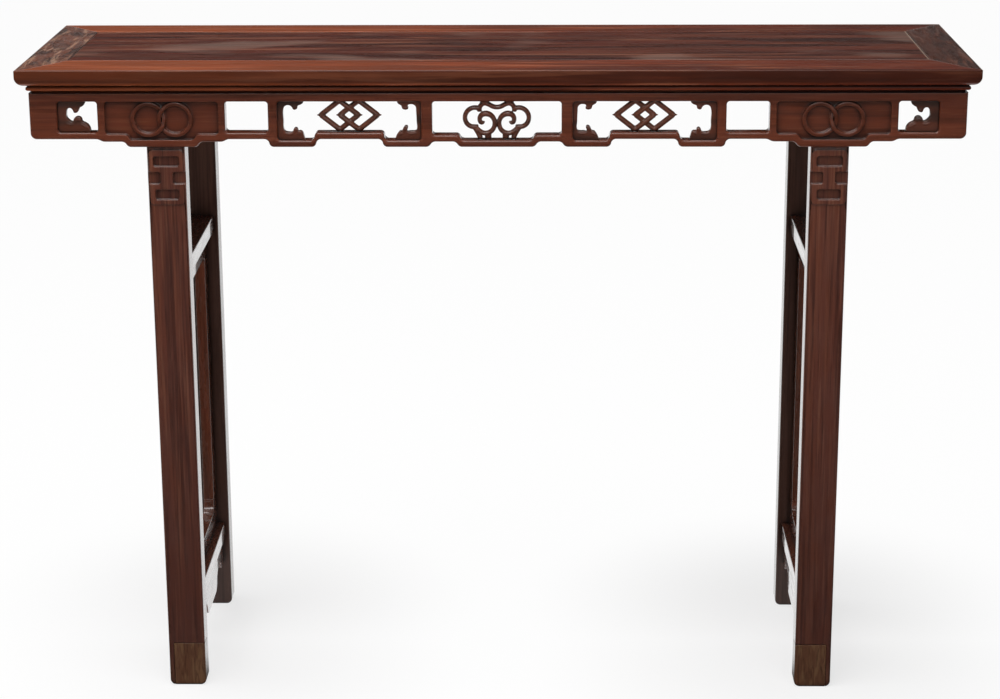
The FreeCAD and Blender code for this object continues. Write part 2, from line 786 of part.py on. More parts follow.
def liner_mortises(body, label, level, upward):
    """The two mortises in a liner board that take the tenons of its uprights."""
    plan = new_sketch(body, "XY_Plane", f"{label}_mortises", level)
    thick = S["liner_tenon_thickness"] / 2 + CLEAR
    near_side = LEG_BACK - S["liner_width"] / 2 - S["liner_tenon_width"] / 2 - CLEAR
    far_side = near_side + S["liner_tenon_width"] + CLEAR * 2
    draw(plan, box_outline(-thick, near_side, thick, far_side))
    draw(plan, box_outline(-thick, -far_side, thick, -near_side))
    pocket(body, plan, S["liner_tenon_length"] + CLEAR, reverse=upward)


def liner_low(label, x):
    """Bottom board of a liner frame, with a round hollow rising to each upright."""
    body = new_body(label)
    low = S["liner_low_height"]
    corner = S["liner_corner"]
    inner = LEG_BACK - S["liner_width"]
    crown = low + corner
    front = new_sketch(body, "YZ_Plane", f"{label}_outline")
    draw(front, [
        (-LEG_BACK, ZERO), (LEG_BACK, ZERO), (LEG_BACK, crown), (inner, crown, corner, "right"),
        (inner - corner, low), (corner - inner, low, corner, "right"), (-inner, crown), (-LEG_BACK, crown),
    ])
    pad(body, front, S["liner_thickness"], both=True)
    liner_mortises(body, label, crown, False)
    return place(body, x=x, z=S["lower_stretcher_top"])


def liner_top(label, x):
    """Top board of a liner frame, with small round corners."""
    body = new_body(label)
    height = S["liner_top_height"]
    corner = S["liner_top_corner"]
    inner = LEG_BACK - S["liner_width"]
    heel = -height - corner
    front = new_sketch(body, "YZ_Plane", f"{label}_outline")
    draw(front, [
        (-LEG_BACK, ZERO), (-LEG_BACK, heel), (-inner, heel, corner, "right"),
        (corner - inner, -height), (inner - corner, -height, corner, "right"),
        (inner, heel), (LEG_BACK, heel), (LEG_BACK, ZERO),
    ])
    pad(body, front, S["liner_thickness"], both=True)
    liner_mortises(body, label, heel, True)
    return place(body, x=x, z=UPPER_STRETCHER_UNDER)


def liner_upright(label, x, side):
    """An upright of a liner frame, with a tenon at each end."""
    body = new_body(label)
    foot = S["lower_stretcher_top"] + S["liner_low_height"] + S["liner_corner"]
    head = UPPER_STRETCHER_UNDER - S["liner_top_height"] - S["liner_top_corner"]
    tall = head - foot
    wide = S["liner_width"] / 2
    front = new_sketch(body, "YZ_Plane", f"{label}_outline")
    draw(front, box_outline(-wide, ZERO, wide, tall))
    pad(body, front, S["liner_thickness"], both=True)
    tenon = new_sketch(body, "YZ_Plane", f"{label}_tenon")
    grow = S["liner_tenon_width"] / 2
    reach = S["liner_tenon_length"]
    draw(tenon, box_outline(-grow, -reach, grow, tall + reach))
    pad(body, tenon, S["liner_tenon_thickness"], both=True)
    return place(body, x=x, y=(LEG_BACK - wide) * side, z=foot)


def side_apron(label, x):
    """The carved apron under a lower stretcher: end drops, notches and a centre lobe."""
    body = new_body(label)
    end_low = -S["side_apron_end_drop"]
    notch_low = -S["side_apron_notch_drop"]
    centre_low = -S["side_apron_centre_drop"]
    end_in = LEG_BACK - S["side_apron_end_run"]
    lobe = S["side_apron_lobe"]
    notch_in = LEG_BACK - S["side_apron_notch_run"]
    lobe_in = notch_in - S["side_apron_lobe_run"]
    right = [(LEG_BACK, end_low), (LEG_BACK, ZERO)]
    left_half = [(-LEG_BACK, ZERO), (-LEG_BACK, end_low)]
    left_half += ramp(-end_in - lobe, end_low, lobe - end_in, notch_low, "left")
    left_half += [(lobe - end_in, notch_low)]
    left_half += ramp(-notch_in, notch_low, -lobe_in, centre_low, "right")
    right_half = ramp(lobe_in, centre_low, notch_in, notch_low, "left") + [(notch_in, notch_low)]
    right_half += ramp(end_in - lobe, notch_low, end_in + lobe, end_low, "right")
    right_half += [(end_in + lobe, end_low)]
    outline = left_half + [(-lobe_in, centre_low)] + right_half + right
    front = new_sketch(body, "YZ_Plane", f"{label}_outline")
    draw(front, outline)
    pad(body, front, S["side_apron_thickness"], both=True)
    tongue = new_sketch(body, "YZ_Plane", f"{label}_tongue")
    reach = LEG_BACK - OVER
    draw(tongue, box_outline(-reach, -OVER, reach, S["side_apron_tongue_height"]))
    pad(body, tongue, S["side_apron_tongue_thickness"], both=True)
    return place(body, x=x, z=LOWER_STRETCHER_UNDER)


# Openwork aprons: local x = 0 is the middle, y = 0 the face that shows, z = 0 the top edge

CENTRE_BAY = S["centre_bay_half"]
LOZENGE_IN = CENTRE_BAY + S["centre_post"]
LOZENGE_OUT = LOZENGE_IN + S["lozenge_bay_width"]
LOZENGE_MID = (LOZENGE_IN + LOZENGE_OUT) / 2
SLOT_IN = LOZENGE_OUT + S["inner_post"]
SLOT_OUT = SLOT_IN + S["slot_width"]
RING_IN = SLOT_OUT + S["outer_post"]
RING_OUT = RING_IN + S["ring_panel_width"]
RING_MID = (RING_IN + RING_OUT) / 2
END_IN = RING_OUT + S["end_post"]
END_OUT = END_IN + S["end_bay_width"]
OPEN_TOP = -S["top_rail_height"]
OPEN_HIGH = S["low_rail_height"] - S["apron_high"]
OPEN_MID = S["low_rail_height"] - S["apron_mid"]
OPEN_DEEP = S["low_rail_height"] - S["apron_deep"]


def along_steps(steps, run):
    """Outline entries along a stepped lower edge, from left to right."""
    entries = []
    for x, level, following in steps:
        turn = "left" if following.value > level.value else "right"
        entries += ramp(x, level, x + run, following, turn) + [(x + run, following)]
    return entries


def apron_outline():
    """Outline of the apron's right half, counter-clockwise from the top of its middle."""
    run = S["ramp_run"]
    corner = S["apron_corner"]
    high, mid, deep = -S["apron_high"], -S["apron_mid"], -S["apron_deep"]
    rise = S["lozenge_rise_half"]
    drop = S["ring_drop_half"]
    steps = [
        (S["cloud_drop_half"], deep, mid),
        (CENTRE_BAY - S["centre_post_lead"], mid, deep),
        (LOZENGE_MID - rise - run, deep, high),
        (LOZENGE_MID + rise, high, deep),
        (SLOT_IN - S["inner_post_lead"], deep, high),
        (SLOT_OUT - S["slot_lead"], high, mid),
        (RING_MID - drop - run, mid, deep),
        (RING_MID + drop, deep, mid),
        (RING_OUT + S["end_post_lead"], mid, high),
    ]
    return [(ZERO, ZERO), (ZERO, deep)] + along_steps(steps, run) + [
        (APRON_HALF - corner, high, corner, "left"), (APRON_HALF, corner + high), (APRON_HALF, ZERO)]


def bay_outline(x0, x1, low, steps):
    """An opening or recess of the apron: flat top, stepped foot, rounded corners.

    Steps are (x, level, following level) entries from left to right.
    """
    corner = S["bay_corner"]
    run = S["ramp_run"] - S["ramp_inset"] / 2
    return [
        (x0, OPEN_TOP - corner), (x0, low + corner, corner, "left"), (x0 + corner, low),
    ] + along_steps(steps, run) + [
        (x1 - corner, low, corner, "left"), (x1, low + corner),
        (x1, OPEN_TOP - corner, corner, "left"), (x1 - corner, OPEN_TOP),
        (x0 + corner, OPEN_TOP, corner, "left"),
    ]


def centre_bay_outline():
    """Right half of the middle opening."""
    corner = S["bay_corner"]
    run = S["ramp_run"] - S["ramp_inset"] / 2
    step = [(S["cloud_drop_half"] - S["ramp_inset"], OPEN_DEEP, OPEN_MID)]
    return [(ZERO, OPEN_TOP), (ZERO, OPEN_DEEP)] + along_steps(step, run) + [
        (CENTRE_BAY - corner, OPEN_MID, corner, "left"), (CENTRE_BAY, OPEN_MID + corner),
        (CENTRE_BAY, OPEN_TOP - corner, corner, "left"), (CENTRE_BAY - corner, OPEN_TOP),
    ]


def apron_openings():
    """Outlines of the openings in the right half that go right through the apron."""
    rise = S["lozenge_rise_half"] + S["ramp_inset"]
    run = S["ramp_run"] - S["ramp_inset"] / 2
    lozenge = bay_outline(LOZENGE_IN, LOZENGE_OUT, OPEN_DEEP, [
        (LOZENGE_MID - rise - run, OPEN_DEEP, OPEN_HIGH), (LOZENGE_MID + rise, OPEN_HIGH, OPEN_DEEP)])
    slot = bay_outline(SLOT_IN, SLOT_OUT, OPEN_HIGH, [])
    end = bay_outline(END_IN, END_OUT, OPEN_HIGH, [])
    return [centre_bay_outline(), lozenge, slot, end]


def ring_recess_outline():
    """Outline of the sunk field behind a pair of rings."""
    drop = S["ring_drop_half"] - S["ramp_inset"]
    run = S["ramp_run"] - S["ramp_inset"] / 2
    mid = S["ring_low_rail"] - S["apron_mid"]
    deep = S["ring_low_rail"] - S["apron_deep"]
    return bay_outline(RING_IN, RING_OUT, mid, [
        (RING_MID - drop - run, mid, deep), (RING_MID + drop, deep, mid)])


def open_apron(label, turn):
    """A long openwork apron: one plank with bays, sunk ring panels and a tongue on top."""
    body = new_body(label)
    front = new_sketch(body, "XZ_Plane", f"{label}_outline")
    draw(front, apron_outline())
    half = [pad(body, front, S["apron_thickness"], reverse=True)]
    for index, outline in enumerate(apron_openings()):
        bay = new_sketch(body, "XZ_Plane", f"{label}_bay_{index}", OVER)
        draw(bay, outline)
        half.append(pocket(body, bay, S["apron_thickness"] + OVER * 2))
    carved = mirror(body, half)
    doc.recompute()
    rim = edges_where(
        carved, lambda a, b: near(a.y, 0) and near(b.y, 0) and not (near(a.z, 0) and near(b.z, 0)))
    dress(body, "Fillet", carved, rim, S["apron_edge_round"])
    recess = new_sketch(body, "XZ_Plane", f"{label}_ring_field")
    draw(recess, ring_recess_outline())
    half = [pocket(body, recess, S["ring_recess"])]
    level = OPEN_TOP - S["ring_outer_radius"]
    for index, step in enumerate((-S["ring_spacing"] / 2, S["ring_spacing"] / 2)):
        ring = new_sketch(body, "XZ_Plane", f"{label}_ring_{index}", S["ring_relief"] - S["ring_recess"])
        draw_circle(ring, RING_MID + step, level, S["ring_outer_radius"])
        draw_circle(ring, RING_MID + step, level, S["ring_outer_radius"] - S["ring_strap"])
        half.append(pad(body, ring, S["ring_relief"] + CLEAR, reverse=True))
    half += tab_slots(body, label)
    half.append(end_apron_housing(body, label))
    mirror(body, half)
    tongue = new_sketch(body, "XY_Plane", f"{label}_tongue", -OVER)
    reach = APRON_HALF - S["end_apron_thickness"]
    seat = S["apron_tongue_setback"]
    draw(tongue, box_outline(-reach, seat, reach, seat + S["apron_tongue_thickness"]))
    pad(body, tongue, S["apron_tongue_height"] + OVER)
    return place(body, y=APRON_FRONT if turn else -APRON_FRONT, z=FRAME_UNDER, turn=turn)


def insert_tab_y():
    """Distance from the apron's face to the tabs of its inserts."""
    return S["insert_setback"] + (S["insert_thickness"] - S["insert_tab_thickness"]) / 2


def tab_slots(body, label):
    """Slots in the right half of the apron for the tabs and lugs of its inserts."""
    half = S["insert_tab_width"] / 2 + CLEAR
    reach = S["insert_tab_length"] + CLEAR
    lug = S["scroll_lug"] / 2 + CLEAR
    bay_level = (OPEN_TOP + OPEN_DEEP) / 2
    end_level = (OPEN_TOP + OPEN_HIGH) / 2
    spots = []
    for x, low in (
            (LOZENGE_MID - S["lozenge_offset"], OPEN_HIGH), (LOZENGE_MID + S["lozenge_offset"], OPEN_HIGH),
            (S["scroll_x"], OPEN_DEEP)):
        spots.append(box_outline(x - half, OPEN_TOP, x + half, OPEN_TOP + reach))
        spots.append(box_outline(x - half, low - reach, x + half, low))
    spots.append(box_outline(LOZENGE_IN - reach, bay_level - lug, LOZENGE_IN, bay_level + lug))
    spots.append(box_outline(LOZENGE_OUT, bay_level - lug, LOZENGE_OUT + reach, bay_level + lug))
    spots.append(box_outline(END_OUT, end_level - lug, END_OUT + reach, end_level + lug))
    slots = new_sketch(body, "XZ_Plane", f"{label}_tab_slots", CLEAR - insert_tab_y())
    for outline in spots:
        draw(slots, outline)
    return [pocket(body, slots, S["insert_tab_thickness"] + CLEAR * 2)]


def end_apron_housing(body, label):
    """An upright groove in the back of the apron for the tongue of the end apron."""
    outer = APRON_HALF - (S["end_apron_thickness"] - S["end_tongue_thickness"]) / 2
    inner = outer - S["end_tongue_thickness"]
    back = new_sketch(body, "XZ_Plane", f"{label}_end_housing", -S["apron_thickness"] - OVER)
    low = -S["end_apron_height"] + S["apron_corner"] - CLEAR
    draw(back, box_outline(inner - CLEAR, low, outer + CLEAR, OVER))
    return pocket(body, back, S["end_tongue_length"] + CLEAR + OVER, reverse=True)


def end_apron(label, side):
    """A short apron under an end of the top, tongued into the long aprons and the rail."""
    body = new_body(label)
    high = S["end_apron_height"] - S["end_apron_rise"]
    flat = S["end_apron_flat_half"]
    run = S["ramp_run"]
    low = -S["end_apron_height"]
    front = new_sketch(body, "YZ_Plane", f"{label}_outline")
    outline = [(-APRON_BACK, ZERO), (-APRON_BACK, low)]
    outline += ramp(-flat - run, low, -flat, -high, "left") + [(-flat, -high)]
    outline += ramp(flat, -high, flat + run, low, "right") + [(flat + run, low)]
    outline += [(APRON_BACK, low), (APRON_BACK, ZERO)]
    draw(front, outline)
    pad(body, front, S["end_apron_thickness"], both=True)
    tongue = new_sketch(body, "YZ_Plane", f"{label}_tongue")
    reach = APRON_BACK + S["end_tongue_length"]
    draw(tongue, box_outline(-reach, low + S["apron_corner"], reach, ZERO))
    pad(body, tongue, S["end_tongue_thickness"], both=True)
    ridge = new_sketch(body, "XY_Plane", f"{label}_ridge", -OVER)
    seat = S["end_apron_thickness"] / 2 - S["apron_tongue_setback"]
    long_reach = APRON_BACK - S["end_tongue_length"]
    outline = box_outline(seat - S["apron_tongue_thickness"], -long_reach, seat, long_reach)
    draw(ridge, outline if side > 0 else mirror_x(outline))
    pad(body, ridge, S["apron_tongue_height"] + OVER)
    return place(body, x=(APRON_HALF - S["end_apron_thickness"] / 2) * side, z=FRAME_UNDER)


# Inserts of the openwork, in the apron's own local frame

def seat_insert(body, turn, x):
    """Place an insert behind the apron's face, in the front or the back apron."""
    y = APRON_FRONT - S["insert_setback"]
    return place(body, x=-x if turn else x, y=y if turn else -y, z=FRAME_UNDER, turn=turn)


def add_tabs(body, label, spots):
    """Tabs that key an insert into the apron's rails."""
    half = S["insert_tab_width"] / 2
    seat = (S["insert_thickness"] - S["insert_tab_thickness"]) / 2
    front = new_sketch(body, "XZ_Plane", f"{label}_tabs", -seat)
    for x, level, direction in spots:
        root = level - S["insert_tab_length"] * direction
        tip = level + S["insert_tab_length"] * direction
        low, high = (root, tip) if direction > 0 else (tip, root)
        draw(front, box_outline(x - half, low, x + half, high))
    pad(body, front, S["insert_tab_thickness"], reverse=True)


def lozenge_insert(label, side, turn):
    """Two interlaced lozenges cut off by the rails that they touch."""
    body = new_body(label)
    half = S["lozenge_half_length"]
    tall = (OPEN_TOP - OPEN_HIGH) / 2
    level = (OPEN_TOP + OPEN_HIGH) / 2
    flat = half - tall / LOZENGE_SLOPE_SHARE
    inner = half - S["lozenge_strap"]
    inner_tall = inner * LOZENGE_SLOPE_SHARE
    for name, offset in (("outer", S["lozenge_offset"]), ("inner", -S["lozenge_offset"])):
        face = new_sketch(body, "XZ_Plane", f"{label}_{name}")
        ring = [(-half, ZERO), (-flat, -tall), (flat, -tall), (half, ZERO), (flat, tall), (-flat, tall)]
        hole = [(-inner, ZERO), (ZERO, -inner_tall), (inner, ZERO), (ZERO, inner_tall)]
        draw(face, shift(ring, offset, level))
        draw(face, shift(hole, offset, level))
        pad(body, face, S["insert_thickness"], reverse=True)
    gap = S["lozenge_offset"]
    spots = []
    for step in (-1, 1):
        spots += [(gap * step, OPEN_TOP, 1), (gap * step, OPEN_HIGH, -1)]
    add_tabs(body, label, spots)
    return seat_insert(body, turn, LOZENGE_MID * side)


def sector(x, y, radius, strap, angles):
    """Outline of a curved strap around a centre, through the given angles."""
    shares = [(math.cos(math.radians(angle)), math.sin(math.radians(angle))) for angle in angles]
    inner = radius - strap / 2
    outer = radius + strap / 2
    outline = []
    for position, (cos_share, sin_share) in enumerate(shares):
        bend = (outer, "left") if position < len(shares) - 1 else ()
        outline.append((x + outer * cos_share, y + outer * sin_share, *bend))
    for position, (cos_share, sin_share) in enumerate(reversed(shares)):
        bend = (inner, "right") if position < len(shares) - 1 else ()
        outline.append((x + inner * cos_share, y + inner * sin_share, *bend))
    return outline


def cloud_insert(label, turn):
    """A cloud head: two side lobes, two hooked scrolls and a double arch of one strap."""
    body = new_body(label)
    half = []
    for name, bend, angles in (
            ("lobe", "lobe_radius", LOBE_ANGLES), ("scroll", "scroll_radius", SCROLL_ANGLES),
            ("hook", "hook_bend", HOOK_ANGLES), ("arch", "arch_radius", ARCH_ANGLES),
            ("trough", "trough_radius", TROUGH_ANGLES)):
        x = -S[f"{name}_x"] if name != "trough" else ZERO
        face = new_sketch(body, "XZ_Plane", f"{label}_{name}")
        draw(face, sector(x, OPEN_DEEP + S[f"{name}_rise"], S[bend], S[f"{name}_strap"], angles))
        half.append(pad(body, face, S["insert_thickness"], reverse=True))
    neck = new_sketch(body, "XZ_Plane", f"{label}_neck")
    root = OPEN_DEEP + S["arch_rise"] + S["arch_radius"]
    draw(neck, box_outline(-S["neck_far"], root, -S["neck_near"], OPEN_TOP))
    half.append(pad(body, neck, S["insert_thickness"], reverse=True))
    mirror(body, half)
    trim = new_sketch(body, "XZ_Plane", f"{label}_trim", OVER)
    reach = S["lobe_x"] + S["lobe_radius"] * 2
    draw(trim, box_outline(-reach, OPEN_DEEP - OVER, reach, OPEN_DEEP))
    pocket(body, trim, S["insert_thickness"] + OVER * 2)
    x = S["scroll_x"]
    add_tabs(body, label, [(x, OPEN_TOP, 1), (-x, OPEN_TOP, 1), (x, OPEN_DEEP, -1), (-x, OPEN_DEEP, -1)])
    return seat_insert(body, turn, ZERO)


def scroll_insert(label, x, side, turn, low, kind):
    """A bracket along one side of a bay, with a hooked arm along the top and the foot.

    It fills the side of the opening at x and its arms point towards -side.
    """
    body = new_body(label)
    ledge = S["scroll_ledge"]
    arm = S[f"{kind}_scroll_arm"]
    hook = S["hook_radius"]
    corner = S["bay_corner"]
    bend = arm / 2
    tip = ledge + S[f"{kind}_scroll_reach"]
    near_hook = ledge + S[f"{kind}_hook_reach"] - hook
    far_hook = near_hook + hook * 2
    drop = S[f"{kind}_hook_drop"]
    top = OPEN_TOP
    outline = [
        (ZERO, top - corner), (ZERO, low + corner, corner, "left"), (corner, low), (tip, low),
        (far_hook, low + drop * HOOK_SHARE), (far_hook, low + drop, hook * HALF_ROUND_SHARE, "left"),
        (near_hook, low + drop), (near_hook, low + arm), (ledge + bend, low + arm, bend, "right"),
        (ledge, low + arm + bend), (ledge, top - arm - bend, bend, "right"), (ledge + bend, top - arm),
        (near_hook, top - arm), (near_hook, top - drop, hook * HALF_ROUND_SHARE, "left"),
        (far_hook, top - drop), (far_hook, top - drop * HOOK_SHARE), (tip, top),
        (corner, top, corner, "left"),
    ]
    face = new_sketch(body, "XZ_Plane", f"{label}_face")
    draw(face, outline if side < 0 else mirror_x(outline))
    pad(body, face, S["insert_thickness"], reverse=True)
    lug = S["scroll_lug"] / 2
    level = (top + low) / 2
    seat = (S["insert_thickness"] - S["insert_tab_thickness"]) / 2
    key = new_sketch(body, "XZ_Plane", f"{label}_lug", -seat)
    lug_outline = box_outline(-S["insert_tab_length"], level - lug, ledge / 2, level + lug)
    draw(key, lug_outline if side < 0 else mirror_x(lug_outline))
    pad(body, key, S["insert_tab_thickness"], reverse=True)
    return seat_insert(body, turn, x)


def apron_inserts(where, turn):
    """All inserts of one long apron."""
    pieces = [cloud_insert(f"cloud_insert_{where}", turn)]
    for word, side in (("left", -1), ("right", 1)):
        tail = f"{where}_{word}"
        pieces.append(lozenge_insert(f"lozenge_insert_{tail}", side, turn))
        for name, x, way, low, kind in (
                ("inner", LOZENGE_IN, -side, OPEN_DEEP, "bay"),
                ("outer", LOZENGE_OUT, side, OPEN_DEEP, "bay"),
                ("end", END_OUT, side, OPEN_HIGH, "end")):
            pieces.append(scroll_insert(f"{name}_scroll_{tail}", x * side, way, turn, low, kind))
    return pieces


def top_frame():
    """The four rails, the panel and its battens."""
    front = S["front_rail_width"]
    back = S["back_rail_width"]
    pieces = [
        place(long_rail("top_front_rail", front), y=-HALF_DEPTH, z=FRAME_UNDER),
        place(long_rail("top_back_rail", back), y=HALF_DEPTH, z=FRAME_UNDER, turn=180),
        place(end_rail("top_left_end_rail", front, back), x=-HALF_LENGTH, z=FRAME_UNDER, turn=-90),
        place(end_rail("top_right_end_rail", back, front), x=HALF_LENGTH, z=FRAME_UNDER, turn=90),
        top_panel(),
    ]
    return pieces + [panel_batten(index) for index in range(BATTEN_COUNT)]


def side_frame(word, side):
    """Everything between a front and a back leg on one side."""
    x = LEG_X * side
    return [
        stretcher(f"upper_stretcher_{word}", x, S["upper_stretcher_top"]),
        stretcher(f"lower_stretcher_{word}", x, S["lower_stretcher_top"]),
        liner_low(f"liner_bottom_{word}", x),
        liner_top(f"liner_top_{word}", x),
        liner_upright(f"liner_front_upright_{word}", x, -1),
        liner_upright(f"liner_back_upright_{word}", x, 1),
        side_apron(f"carved_side_apron_{word}", x),
    ]


def build():
    """Every piece of the table."""
    pieces = top_frame()
    for word, side in (("left", -1), ("right", 1)):
        pieces.append(leg(f"leg_front_{word}", LEG_X * side, -side))
        pieces.append(leg(f"leg_back_{word}", LEG_X * side, 0))
        pieces.append(foot_patch(f"foot_patch_{word}", -side))
        pieces += side_frame(word, side)
        pieces.append(end_apron(f"end_apron_{word}", side))
    for where, turn in (("front", 0), ("back", 180)):
        pieces.append(open_apron(f"apron_{where}", turn))
        pieces += apron_inserts(where, turn)
    return pieces


def check(pieces):
    """Stop if any object of the document failed or any piece isn't one valid solid."""
    for item in doc.Objects:
        if "Invalid" in item.State or "Error" in item.State:
            raise RuntimeError(f"{item.Label} did not compute: {item.State}")
    for body in pieces:
        shape = body.Shape
        if shape.isNull() or not shape.isValid() or len(shape.Solids) != 1:
            raise RuntimeError(f"{body.Label} is not one valid solid: {len(shape.Solids)} solids")


pieces = build()
doc.recompute()
check(pieces)
os.makedirs("parts", exist_ok=True)
for body in pieces:
    body.Shape.exportStep(f"parts/{body.Label}.step")
print(f"{len(pieces)} pieces written")
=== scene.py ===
"""Looks of a Chinese altar table: aged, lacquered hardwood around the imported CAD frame."""

import logging
import math
from dataclasses import dataclass, field
from enum import Enum

import bmesh
import bpy
from mathutils import Matrix, Vector


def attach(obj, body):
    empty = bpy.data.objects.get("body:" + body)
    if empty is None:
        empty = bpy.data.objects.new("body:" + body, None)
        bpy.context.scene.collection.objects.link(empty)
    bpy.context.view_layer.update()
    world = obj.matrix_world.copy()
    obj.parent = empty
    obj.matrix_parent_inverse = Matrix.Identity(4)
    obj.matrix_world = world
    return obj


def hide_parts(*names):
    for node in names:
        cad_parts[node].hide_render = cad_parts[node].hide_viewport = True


MM = 0.001
LOG = logging.getLogger("altar_table")

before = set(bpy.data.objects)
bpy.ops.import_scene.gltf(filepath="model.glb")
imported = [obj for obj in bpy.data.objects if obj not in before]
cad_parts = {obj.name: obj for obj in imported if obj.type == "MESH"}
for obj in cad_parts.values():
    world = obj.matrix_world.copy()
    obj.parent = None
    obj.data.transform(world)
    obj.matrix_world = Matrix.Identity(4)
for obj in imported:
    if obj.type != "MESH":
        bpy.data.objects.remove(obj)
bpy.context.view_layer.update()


class Grain(Enum):
    """The way the wood fibre runs in a piece."""

    ALONG_X = 0
    ALONG_Y = 1
    ALONG_Z = 2


def linear(code: str) -> tuple[float, float, float, float]:
    """Turn an sRGB hex colour into linear light.

    Args:
        code: Six hex digits with a leading hash.

    Returns:
        Red, green, blue and an alpha of one.
    """
    shares = [int(code[place:place + 2], 16) / 255 for place in (1, 3, 5)]
    light = [s / 12.92 if s <= 0.04045 else ((s + 0.055) / 1.055) ** 2.4 for s in shares]
    return (light[0], light[1], light[2], 1.0)


def add_node(tree: bpy.types.NodeTree, kind: str, settings: dict | None = None,
             outlet: int | str = 0) -> bpy.types.NodeSocket | None:
    """Add one node to a tree with its settings and its links.

    Args:
        tree: The node tree of a material or of the world.
        kind: Blender's name of the node type.
        settings: Attributes, and inputs by name or index; a socket as the value makes a link.
        outlet: The output to hand back.

    Returns:
        That output, or None for a node that ends the tree.
    """
    node = tree.nodes.new(kind)
    for key, value in (settings or {}).items():
        if isinstance(value, bpy.types.NodeSocket):
            tree.links.new(value, node.inputs[key])
        elif isinstance(key, str) and key not in node.inputs:
            setattr(node, key, value)
        else:
            node.inputs[key].default_value = value
    return node.outputs[outlet] if len(node.outputs) else None


@dataclass(frozen=True)
class FigureAndSheenLayer:
    """One layer of colour from noise stretched along the fibre; most are the wood's grain, and the
    panel's pale smudges are painted sheen.
    """

    across_mm: float
    along_mm: float
    low: float
    high: float
    share: float
    colour: str
    detail: float = 2.0
    wander: float = 0.2


@dataclass(frozen=True)
class ColourShift:
    """A slow change of colour along one axis; on the moulded front edge it is painted shade, and in
    the panel's joints it is dust.
    """

    axis: Grain
    full_at: float
    gone_at: float
    share: float
    colour: str


